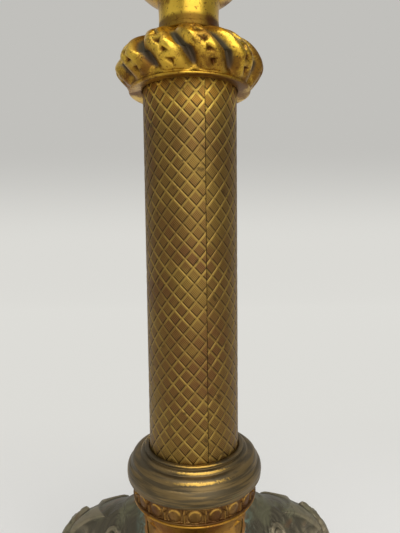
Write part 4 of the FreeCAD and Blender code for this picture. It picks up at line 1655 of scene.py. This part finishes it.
    def arch(self) -> Array:
        """The lower edge, arched between the feet.

        Returns:
            Its level in each column.
        """
        low = self.skin(np.full((1, self.column_count), self.span.foot))[0]
        bearing = np.arctan2(low[:, 0], -low[:, 1])
        middle = np.round((bearing - SIXTH_TURN) / THIRD_TURN) * THIRD_TURN + SIXTH_TURN
        sideways = np.hypot(low[:, 0], low[:, 1]) * np.sin(bearing - middle)
        rise = np.sqrt(np.maximum(self.arch_radius**2 - sideways**2, 0.0))
        return self.span.foot + np.maximum(rise - self.arch_radius + self.arch_rise, 0.0)

    def crowns(self) -> Array:
        """The upper edge, lower where the neck's seat breaks through a side.

        Returns:
            Its level in each column.
        """
        low = self.span.level(self.crown_lowest)
        levels = np.linspace(low, self.span.top, self.crown_steps)[:, None] + np.zeros((1, self.column_count))
        points = self.skin(levels)
        clear = np.hypot(points[..., 0], points[..., 1]) > self.seat_radius + self.seat_edge
        return np.where(clear, levels, self.span.foot).max(0)

    def flank_place(self, shares: Point) -> Point:
        """The way out and the level that lie at given shares of the shoulder and the height."""
        return self.seat_radius + (self.crest - self.seat_radius) * shares[0], self.span.level(shares[1])

    def scroll(self, out: Array, level: Array, centre: Point, radius: float) -> Array:
        """How far points lie inside a scroll that winds in to an eye.

        Args:
            out: Distance of the points from the axis, along the leg.
            level: Their level.
            centre: Shares at which the eye lies.
            radius: Outer radius of the scroll.

        Returns:
            Depth inside the edge, negative outside.
        """
        middle_out, middle_level = self.flank_place(centre)
        distance = np.hypot(out - middle_out, level - middle_level)
        angle = np.arctan2(level - middle_level, out - middle_out) / FULL_TURN + 0.5
        inside = radius * self.eye_share - distance
        for coil in range(self.coils):
            course = (radius - self.scroll_band / 2) * (1 - self.coil_pitch * (angle + coil))
            half = self.scroll_band / 2 * (1 - self.coil_taper * coil)
            inside = np.maximum(inside, half - np.abs(distance - course))
        return inside

    def frond(
        self, out: Array, level: Array, ends: tuple[Point, Point], upper: float, lower: float
    ) -> Array:
        """How far points lie inside a crescent between two curves over one chord.

        Args:
            out: Distance of the points from the axis, along the leg.
            level: Their level.
            ends: Shares at which the crescent starts and ends.
            upper: Rise of the upper curve over the chord.
            lower: Rise of the lower curve.

        Returns:
            Depth inside the edge, negative outside.
        """
        start, end = (np.array(self.flank_place(shares)) for shares in ends)
        chord = end - start
        length = float(np.hypot(*chord))
        along = ((out - start[0]) * chord[0] + (level - start[1]) * chord[1]) / length**2
        rise = ((level - start[1]) * chord[0] - (out - start[0]) * chord[1]) / length
        bow = 4 * along * (1 - along) * length
        return np.minimum(rise - lower * bow, upper * bow - rise)

    def leaf(self, across: Array, out: Array, level: Array) -> Array:
        """How far points lie inside the pointed leaf over the shoulder.

        Args:
            across: Distance of the points from the middle of the leg.
            out: Distance from the axis, along the leg.
            level: Their level.

        Returns:
            Depth inside the edge, negative outside.
        """
        foot, widest, tip = (self.span.level(share) for share in self.leaf_levels)
        reach = np.where(level > widest, tip - widest, foot - widest)
        share = np.clip((level - widest) / reach, 0, 1)
        width = self.leaf_half * (1 - share) + self.leaf_side * np.abs(reach) * 4 * share * (1 - share)
        ruffle = 1 - self.leaf_ruffle + self.leaf_ruffle * self.vein(across, level)
        return np.where(out > self.face, width * ruffle - across, -1.0)

    def vein(self, across: Array, level: Array) -> Array:
        """The wave of the veins that slant out from the middle of the leaf, from -1 to 1."""
        return np.cos(FULL_TURN * (level + self.vein_slope * across) / self.vein_pace)

    def flow(self, out: Array, level: Array) -> Array:
        """The wandering distance that the fine swirls follow, round the upper scroll.

        Args:
            out: Distance of the points from the axis, along the leg.
            level: Their level.

        Returns:
            The distance of each.
        """
        middle_out, middle_level = self.flank_place(self.scrolls[0][0])
        (first, second), (third, fourth) = self.sway_waves, self.lift_waves
        sway = self.swirl_sway * np.sin(level * first + self.swirl_bend * np.sin(out * second))
        lift = self.swirl_sway * np.sin(out * third + self.swirl_bend * np.sin(level * fourth))
        return np.hypot(out + sway - middle_out, level + lift - middle_level)

    def carve(self, points: Array) -> tuple[Array, Array, Array]:
        """The leaf, the scrolls and the fronds of each leg, and the swirls round them.

        Args:
            points: Points of the outside, by row and column.

        Returns:
            How far each point is raised, how green it is and how far it is gilded.
        """
        level = points[..., 2]
        bearing = np.arctan2(points[..., 0], -points[..., 1])
        leg = np.round(bearing / THIRD_TURN) * THIRD_TURN
        reach = np.hypot(points[..., 0], points[..., 1])
        across = np.abs(reach * np.sin(bearing - leg))
        out = reach * np.cos(bearing - leg)
        leaf = self.leaf(across, out, level)
        inside = leaf
        for centre, radius in self.scrolls:
            inside = np.maximum(inside, self.scroll(out, level, centre, radius))
        for start, end, upper, lower in self.fronds:
            inside = np.maximum(inside, self.frond(out, level, (start, end), upper, lower))
        raised = np.sin(np.clip(inside / self.carving_edge, 0, 1) * FULL_TURN / 4)
        veins = self.vein_rise * self.vein(across, level) + self.midrib_rise * ridge(across, self.midrib_half)
        veins = np.clip(leaf / self.carving_edge, 0, 1) * veins
        swirl = np.cos(FULL_TURN * self.flow(out, level) / self.swirl_pace)
        share = (level - self.span.foot) / self.span.height
        relief = self.carving_rise * raised + veins
        relief += self.swirl_rise * (swirl - 1) * (1 - self.swirl_fade * raised)
        relief -= self.saddle * ridge(share - self.saddle_share, self.saddle_half)
        edge = self.gilded_radius + self.gilded_ruffle * np.cos(FULL_TURN * level / self.vein_pace * 2)
        gilded = np.clip((edge - reach) / self.gilded_ruffle, 0, 1)
        green = np.clip(1 - (reach - self.gilded_radius) / self.green_width, 0, 1)
        return relief, green, gilded

    def build(self, finish: Material) -> None:
        """Make the casting, outside, hollow and seat, and hand it over.

        Args:
            finish: Its material.
        """
        edge, crown = self.arch(), self.crowns()
        count = len(edge)
        down = np.linspace(1, 0, self.outer_rows)[:, None]
        outer = self.skin(edge[None, :] + (crown - edge)[None, :] * down)
        relief, green, gilded = self.carve(outer)
        relief = relief * np.clip((1 - down) / self.top_fade, 0, 1) * np.clip(down / self.foot_fade, 0, 1)
        along = np.gradient(outer, axis=0)
        round_way = (np.roll(outer, -1, 1) - np.roll(outer, 1, 1)) / 2
        normal = np.cross(along, round_way)
        normal /= np.maximum(np.linalg.norm(normal, axis=-1, keepdims=True), NO_LENGTH)
        flip = np.sign((normal[..., :2] * outer[..., :2]).sum(-1).mean())
        outer = outer + normal * flip * relief[..., None]
        underside = self.span.top - self.seat_depth - self.deck
        up = np.linspace(0, 1, self.inner_rows)[:, None]
        inner = self.skin(edge[None, :] + (underside - edge[None, :]) * up, self.wall)
        bearing = np.arctan2(outer[0, :, 0], -outer[0, :, 1])

        def circle(radius: float, level: Array | float) -> Array:
            """One row of points on a circle about the axis."""
            return around(radius, bearing, np.broadcast_to(level, (count,)))[None]

        deck_top = underside + self.deck
        closing = [
            circle(self.rod_hole, underside),
            circle(self.rod_hole, deck_top),
            circle(self.seat_radius, deck_top),
            circle(self.seat_radius, crown),
        ]
        points = np.concatenate([outer, inner, *closing]).reshape(-1, 3)
        base = new_piece("carved_base", points, grid_faces(len(points) // count, count)[:, ::-1])
        hidden = np.zeros(len(points) - outer.shape[0] * count)
        marks = {"relief": np.clip(relief / self.carving_rise, -1, 1), "green": green, "gilded": gilded}
        for name, values in marks.items():
            note(base, name, np.concatenate([values.ravel(), hidden]))
        hand_over(base, finish, Slot.DARK, "tripod_base")


@dataclass
class PawFeet:
    """Three lion's paws with four toes each, under the corners of the base."""

    span: Span
    ankle_place: float = 0.0710
    ankle_radius: float = 0.013
    ankle_flare: float = 1.2
    reach: float = 0.035
    width: float = 0.034
    pad_share: float = 0.34
    pad_length: float = 0.60
    pad_rise: float = 0.78
    toe_width: float = 0.0096
    toe_height: float = 0.013
    toe_turns: Shares = (-39.0, -13.0, 13.0, 39.0)
    toe_spread: float = 0.40
    toe_length: float = 0.27
    knuckle_place: float = 0.62
    knuckle_level: float = 0.80
    knuckle_length: float = 0.17
    knuckle_width: float = 0.42
    ankle_segments: int = 48
    ball_segments: int = 40
    ball_rings: int = 24
    voxel: float = 0.0008
    smoothing: int = 4
    folds: int = 14
    fold_rise: float = 0.0006
    fold_foot: float = 0.45
    foot_fade: float = 0.3
    fold_top: float = 0.97
    top_fade: float = 0.06

    def paw_mesh(self) -> Board:
        """Ankle, pad, toes and knuckles of a paw that points along +X.

        Returns:
            The mesh, made of lumps that run into one another.
        """
        board = bmesh.new()
        height = self.span.top
        pad_place = self.ankle_place + self.reach * self.pad_share

        def ball(place: Place, radii: Place, turn: float = 0.0) -> None:
            """Add one rounded lump.

            Args:
                place: Its middle.
                radii: Its radii along the three axes.
                turn: How far it is turned about Z.
            """
            matrix = Matrix.Translation(place) @ Matrix.Rotation(turn, 4, "Z") @ Matrix.Diagonal((*radii, 1.0))
            bmesh.ops.create_uvsphere(
                board, u_segments=self.ball_segments, v_segments=self.ball_rings, radius=1.0, matrix=matrix
            )

        bmesh.ops.create_cone(
            board, cap_ends=True, segments=self.ankle_segments, radius1=self.ankle_radius * self.ankle_flare,
            radius2=self.ankle_radius, depth=height, matrix=Matrix.Translation((self.ankle_place, 0, height / 2)),
        )
        ball((pad_place, 0, 0), (self.reach * self.pad_length, self.width / 2, height * self.pad_rise))
        spread = self.reach * self.toe_spread
        knuckle = spread * self.knuckle_place
        thickness = self.knuckle_width
        for turn in self.toe_turns:
            angle = math.radians(turn)
            ball(
                (pad_place + spread * math.cos(angle), spread * math.sin(angle), self.toe_height / 2),
                (self.reach * self.toe_length, self.toe_width / 2, self.toe_height / 2), angle,
            )
            level = self.toe_height * self.knuckle_level
            ball(
                (pad_place + knuckle * math.cos(angle), knuckle * math.sin(angle), level),
                (self.reach * self.knuckle_length, self.toe_width * thickness, self.toe_height * thickness), angle,
            )
        return board

    def build(self, finish: Material) -> None:
        """Model one paw, turn it under each corner and hand the three over.

        Args:
            finish: Their material.
        """
        for name, bearing in LEG_BEARINGS.items():
            paw = piece_from(f"paw_{name}", self.paw_mesh())
            remesh = paw.modifiers.new("skin", "REMESH")
            remesh.mode = "VOXEL"
            remesh.voxel_size = self.voxel
            paw.modifiers.new("worn", "SMOOTH").iterations = self.smoothing
            settle(paw)
            self.detail(paw)
            paw.data.transform(Matrix.Rotation(bearing - FULL_TURN / 4, 4, "Z"))
            paw.data.shade_smooth()
            hand_over(paw, finish, Slot.DARK, f"paw_foot_{name}")

    def detail(self, paw: Piece) -> None:
        """Flatten the sole and cut the folds of the ankle.

        Args:
            paw: The paw, pointing along +X.
        """
        points = corners_of(paw.data)
        normals = np.empty(points.size)
        paw.data.vertex_normals.foreach_get("vector", normals)
        x, y, z = points.T
        share = z / self.span.top
        up = np.clip((share - self.fold_foot) / self.foot_fade, 0, 1)
        up = up * np.clip((self.fold_top - share) / self.top_fade, 0, 1)
        fold = np.cos(np.arctan2(y, x - self.ankle_place) * self.folds) * up
        points = points + normals.reshape(-1, 3) * (self.fold_rise * fold)[:, None]
        points[:, 2] = np.clip(points[:, 2], 0.0, self.span.top)
        paw.data.vertices.foreach_set("co", points.ravel())
        note(paw, "relief", fold)


# Cup, pan, pricket and ironwork


@dataclass
class CandleHolder:
    """The cup, the loose drip pan and the iron pricket."""

    cup: Span
    pan: Span
    pricket: Span
    foot_radius: float = 0.0148
    wall: float = 0.0032
    floor: float = 0.0037
    mouth: float = 0.0244
    waist_wall: float = 0.9
    cup_levels: tuple[float, float, float] = (0.48, 0.76, 0.95)
    cup_columns: int = 180
    rod_hole: float = 0.0044
    pan_floor_radius: float = 0.035
    pan_sheet: float = 0.0014
    pan_columns: int = 220
    skirt: float = 0.0241
    pan_hole: float = 0.0066
    plate_height: float = 0.003
    stem: float = 0.006
    stem_share: float = 0.26
    stem_pace: float = 0.001
    tip: float = 0.0006
    spike_pace: float = 0.0012
    spike_columns: int = 64
    thread_hole: float = 0.00405
    thread_depth: float = 0.015
    flat_depth: float = 0.00025
    flat_turns: int = 2
    flat_sway: float = 0.6
    flat_waves: float = 420.0

    def build_cup(self, finish: Material) -> None:
        """Make the round-bottomed cup.

        Args:
            finish: Its material.
        """
        wide, foot, top = self.cup.reach, self.cup.foot, self.cup.top
        floor = foot + self.floor
        belly, waist, lip = (self.cup.level(share) for share in self.cup_levels)
        outline = Outline(self.rod_hole, foot).hidden(self.foot_radius, foot).arc(wide, belly, SOFT_SHARE)
        outline.arc(self.mouth + self.wall * self.waist_wall, waist, SOFT_SHARE).arc(wide, lip, -SOFT_SHARE)
        outline.line(wide, top).line(self.mouth, top).hidden(self.mouth, belly)
        outline.arc(self.foot_radius - self.wall, floor, -SOFT_SHARE, pace=FINE_PACE * 2).hidden(self.rod_hole, floor)
        hand_over(turned("cup_turned", outline, self.cup_columns), finish, Slot.GILT, "cup")

    def build_pan(self, finish: Material) -> None:
        """Make the loose dish with its skirt.

        Args:
            finish: Its material.
        """
        seat, top, skirt_foot = self.cup.top, self.pan.top, self.pan.foot
        floor_top = seat + self.pan_sheet
        rim = self.pan.reach - self.pan_sheet / 2
        inner = self.skirt - self.pan_sheet
        outline = Outline(self.pan_hole, seat).hidden(inner, seat).line(inner, skirt_foot)
        outline.line(self.skirt, skirt_foot).line(self.skirt, seat)
        outline.line(self.pan_floor_radius, seat).arc(rim, top - self.pan_sheet, SOFT_SHARE)
        outline.arc(rim, top, HALF_SHARE).line(rim - self.pan_sheet, top)
        outline.arc(self.pan_floor_radius, floor_top, -SOFT_SHARE).line(self.pan_hole, floor_top)
        pan = turned("drip_pan_spun", outline, self.pan_columns, softening=1)
        hand_over(pan, finish, Slot.GILT, "drip_pan", body=Body.PAN)

    def hammering(self, turn: Turn) -> Array:
        """Flats that the hammer left on the spike, shallower towards its tip.

        Args:
            turn: The points.

        Returns:
            How far each is raised.
        """
        sway = self.flat_sway * np.sin(turn.height * self.flat_waves)
        flats = np.abs(np.sin(turn.bearing * self.flat_turns + sway)) ** 3
        return -self.flat_depth * flats * np.clip(turn.radius / self.stem, 0, 1)

    def build_pricket(self, finish: Material) -> None:
        """Make the spike.

        Args:
            finish: Its material.
        """
        foot, top, plate = self.pricket.foot, self.pricket.top, self.pricket.reach
        plate_top = foot + self.plate_height
        hole_top = foot + self.thread_depth
        outline = Outline(self.thread_hole, foot).line(plate, foot).line(plate, plate_top).line(self.stem, plate_top)
        outline.line(self.stem, self.pricket.level(self.stem_share), pace=self.stem_pace)
        outline.line(self.tip, top, carved=True, pace=self.spike_pace).line(0.0, top)
        outline.line(0.0, hole_top, pace=LONG_PACE).hidden(self.thread_hole, hole_top).hidden(self.thread_hole, foot)
        spike = turned("pricket_forged", outline, self.spike_columns, self.hammering, softening=0)
        hand_over(spike, finish, Slot.IRON, "pricket")


@dataclass
class IronWork:
    """The tie rod with its threads, its nuts, plate and washer."""

    rod: Span
    bevel_share: float = 0.25
    thread_pitch: float = 0.00125
    thread_depth: float = 0.0006
    thread_length: float = 0.024
    thread_steps: int = 4
    axis_pace: float = 0.05
    rod_columns: int = 48
    nut_radius: float = 0.0075
    nut_edge: float = 1e-5
    nut_columns: int = 96
    cone_angle: float = math.radians(60.0)
    hole: float = 0.00405

    def thread(self, turn: Turn) -> Array:
        """The groove of the thread, as deep as the pitch allows."""
        phase = turn.height / self.thread_pitch - turn.bearing / FULL_TURN
        return -self.thread_depth * np.abs(2 * (phase - np.floor(phase)) - 1)

    def build_rod(self, finish: Material) -> None:
        """Make the rod, threaded at both ends.

        Args:
            finish: Its material.
        """
        radius, foot, top = self.rod.reach, self.rod.foot, self.rod.top
        bevel = radius * self.bevel_share
        pace = self.thread_pitch / self.thread_steps
        outline = Outline(0.0, foot).line(radius - bevel, foot).line(radius, foot + bevel)
        outline.line(radius, foot + self.thread_length, carved=True, pace=pace)
        outline.line(radius, top - self.thread_length, pace=LONG_PACE)
        outline.line(radius, top - bevel, carved=True, pace=pace)
        outline.line(radius - bevel, top).line(0.0, top).line(0.0, foot, pace=self.axis_pace)
        rod = turned("tie_rod_threaded", outline, self.rod_columns, self.thread, softening=0)
        hand_over(rod, finish, Slot.IRON, "tie_rod")

    def build_nut(self, node: str, finish: Material) -> None:
        """Make a hexagonal nut with coned ends.

        Args:
            node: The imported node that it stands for.
            finish: Its material.
        """
        span = Span.of(node)
        flat = self.nut_radius * math.cos(SIXTH_TURN / 2)

        def sides(turn: Turn) -> Array:
            """Draw the round blank in to the flats and the cones.

            Args:
                turn: The points of the blank.

            Returns:
                How far each is raised.
            """
            past = turn.bearing - SIXTH_TURN / 2
            angle = past - np.round(past / SIXTH_TURN) * SIXTH_TURN
            near_end = np.minimum(turn.height - span.foot, span.top - turn.height)
            cone = flat + near_end * math.tan(self.cone_angle)
            return np.minimum(flat / np.cos(angle), cone) - turn.radius

        outline = Outline(self.hole, span.foot).line(flat, span.foot)
        outline.line(self.nut_radius, span.foot + self.nut_edge, pace=LONG_PACE)
        outline.line(self.nut_radius, span.top - self.nut_edge, carved=True, pace=CARVED_PACE)
        outline.line(flat, span.top, pace=LONG_PACE).line(self.hole, span.top)
        nut = turned(f"{node}_hexagon", outline, self.nut_columns, sides, softening=0)
        hand_over(nut, finish, Slot.IRON, node)

    def dress_nodes(self, finish: Material, *nodes: str) -> None:
        """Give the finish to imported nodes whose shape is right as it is.

        Args:
            finish: Their material.
            nodes: Names of the nodes.
        """
        for node in nodes:
            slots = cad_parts[node].data.materials
            slots.clear()
            slots.append(finish)
            log.info("%s: packed shape kept", node)


# Studio


@dataclass(frozen=True)
class Lamp:
    """A square soft light that points at a place."""

    name: str
    place: Place
    aim: Place
    size: float
    power: float

    def hang(self) -> None:
        """Add the light to the scene."""
        light = bpy.data.lights.new(self.name, "AREA")
        light.size = self.size
        light.energy = self.power
        lamp = linked(self.name, light)
        lamp.location = self.place
        lamp.rotation_euler = (Vector(self.aim) - Vector(self.place)).to_track_quat("-Z", "Y").to_euler()


@dataclass
class Studio:
    """Pale floor and backdrop, soft lights and the camera."""

    camera_place: Place = (0.0, -0.2226, 0.275)
    pitch: float = math.radians(4.8)
    yaw: float = math.radians(1.0546)
    roll: float = math.radians(0.62)
    focal_pixels: float = 440.0
    picture_height: float = 533.0
    sensor: float = 24.0
    nearest: float = 0.01
    paint: Colour = shade(229, 228, 224)
    floor_colour: Colour = shade(217, 216, 211)
    wall_colour: Colour = shade(191, 190, 186)
    no_colour: Colour = shade(0, 0, 0)
    room_colour: Colour = shade(206, 206, 208)
    room_strength: float = 0.50
    wall_levels: Range = (0.21, 0.66)
    glow_distances: Range = (0.12, 0.42)
    floor_half: float = 3.0
    wall_distance: float = 1.3
    cove: float = 0.5
    cove_steps: int = 16
    roughness: float = 0.9
    plaster_scale: float = 300.0
    plaster_bump: Range = (0.1, 0.0005)
    lamps: tuple[Lamp, ...] = (
        Lamp("ceiling", (0.05, -0.35, 1.7), (0.0, 0.0, 0.3), 1.2, 17.0),
        Lamp("window", (0.36, -1.25, 0.80), (0.0, 0.0, 0.28), 1.4, 12.0),
        Lamp("left_fill", (-1.3, -0.6, 0.8), (0.0, 0.0, 0.28), 1.5, 2.2),
    )

    def build_stage(self) -> None:
        """Lay the floor and bend it up into the backdrop."""
        profile = [(-self.floor_half, 0.0), (self.wall_distance, 0.0)]
        for step in range(1, self.cove_steps + 1):
            angle = step / self.cove_steps * FULL_TURN / 4
            profile.append((self.wall_distance + self.cove * math.sin(angle), self.cove * (1 - math.cos(angle))))
        profile.append((self.wall_distance + self.cove, self.floor_half))
        points = np.array([(x, y, z) for y, z in profile for x in (-self.floor_half, self.floor_half)])
        faces = np.array([(2 * i, 2 * i + 1, 2 * i + 3, 2 * i + 2) for i in range(len(profile) - 1)])
        stage = new_piece("backdrop", points, faces)
        board = NodeBoard("pale_backdrop")
        axes = board.add("ShaderNodeSeparateXYZ", {0: board.place}).outputs
        # The glowing backdrop is paler on the floor and darker up the wall: painted shade on the upright part.
        colour = board.blend(board.span(axes["Z"], *self.wall_levels), self.floor_colour, self.wall_colour)
        rays = board.add("ShaderNodeLightPath").outputs
        seen = board.largest(*(rays[f"Is {kind} Ray"] for kind in ("Camera", "Glossy", "Transmission")))
        glow = board.times(seen, board.span(axes["Y"], *self.glow_distances))
        board.feed(board.surface.inputs["Emission Color"], colour)
        board.feed(board.surface.inputs["Emission Strength"], glow)
        paint = board.blend(glow, self.paint, self.no_colour)
        plaster = board.bump(board.noise(self.plaster_scale, 2), *self.plaster_bump)
        stage.data.materials.append(board.finish(paint, 0.0, self.roughness, plaster))

    def build_lights(self) -> None:
        """Light the stand from above, with a weaker light at each side."""
        world = bpy.data.worlds.new("room")
        world.use_nodes = True
        background = world.node_tree.nodes["Background"].inputs
        background["Color"].default_value = self.room_colour
        background["Strength"].default_value = self.room_strength
        bpy.context.scene.world = world
        for lamp in self.lamps:
            lamp.hang()

    def build_camera(self) -> None:
        """Set the camera up at the photograph's place and angle."""
        data = bpy.data.cameras.new("camera")
        data.sensor_fit = "VERTICAL"
        data.sensor_height = self.sensor
        data.lens = self.focal_pixels / self.picture_height * self.sensor
        data.clip_start = self.nearest
        camera = linked("camera", data)
        turn = Euler((FULL_TURN / 4 - self.pitch, 0.0, -self.yaw)).to_matrix()
        turn = turn @ Matrix.Rotation(-self.roll, 3, "Z")
        camera.matrix_world = Matrix.Translation(self.camera_place) @ turn.to_4x4()
        bpy.context.scene.camera = camera
        bpy.context.scene.view_settings.view_transform = "Standard"


def main() -> None:
    """Build every sub-assembly, from the floor up, and the studio round them."""
    logging.basicConfig(level=logging.INFO, format="%(name)s: %(message)s")
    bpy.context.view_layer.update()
    # The knop's bright colour is the colour of its painted highlight.
    gilt = GiltBrass("knop_gilding", bright=shade(250, 212, 84)).material()
    smooth_gilt = GiltBrass("cup_gilding", gold=shade(234, 196, 72), worn=shade(186, 142, 50), tarnish_start=0.54,
                            pits=0.5, gloss=0.30).material()
    red_gilt = GiltBrass("band_gilding", gold=shade(126, 94, 50), worn=shade(106, 76, 42), tarnish=shade(92, 60, 34),
                         tarnish_start=0.46, soil_and_shade=shade(60, 44, 26), pits=0.3, gloss=0.42).material()
    neck_gilt = GiltBrass("neck_gilding", gold=shade(186, 138, 52), worn=shade(162, 116, 46),
                          tarnish=shade(130, 80, 36), tarnish_start=0.56, pits=0.2, gloss=0.42).material()
    sleeve_brass = EmbossedBrass("embossed_sheet").material()
    collar_brass = PatinatedBrass("collar_skin").material()
    bronze = DarkBronze("old_casting").material()
    iron = ForgedIron("forged_iron").material()

    PawFeet(Span.of("paw_foot_front")).build(bronze)
    TripodBase(Span.of("tripod_base")).build(bronze)
    mouldings = LowerMouldings(
        Span.of("lower_collar"), Span.of("egg_band"), Span.of("base_neck"), Span.of("tripod_base").top
    )
    mouldings.build_neck(neck_gilt)
    mouldings.build_band(red_gilt)
    mouldings.build_collar(collar_brass)
    ShaftSleeve(Span.of("shaft_sleeve")).build(sleeve_brass)
    TurbanKnop(Span.of("turban_knop"), Span.of("spool")).build(gilt, smooth_gilt)
    holder = CandleHolder(Span.of("cup"), Span.of("drip_pan"), Span.of("pricket"))
    holder.build_cup(smooth_gilt)
    holder.build_pan(smooth_gilt)
    holder.build_pricket(iron)
    ironwork = IronWork(Span.of("tie_rod"))
    ironwork.build_rod(iron)
    ironwork.build_nut("tie_rod_nut", iron)
    ironwork.build_nut("top_nut", iron)
    ironwork.dress_nodes(iron, "clamp_plate", "top_washer", "paw_screws")

    studio = Studio()
    studio.build_stage()
    studio.build_lights()
    studio.build_camera()


if __name__ == "__main__":
    main()
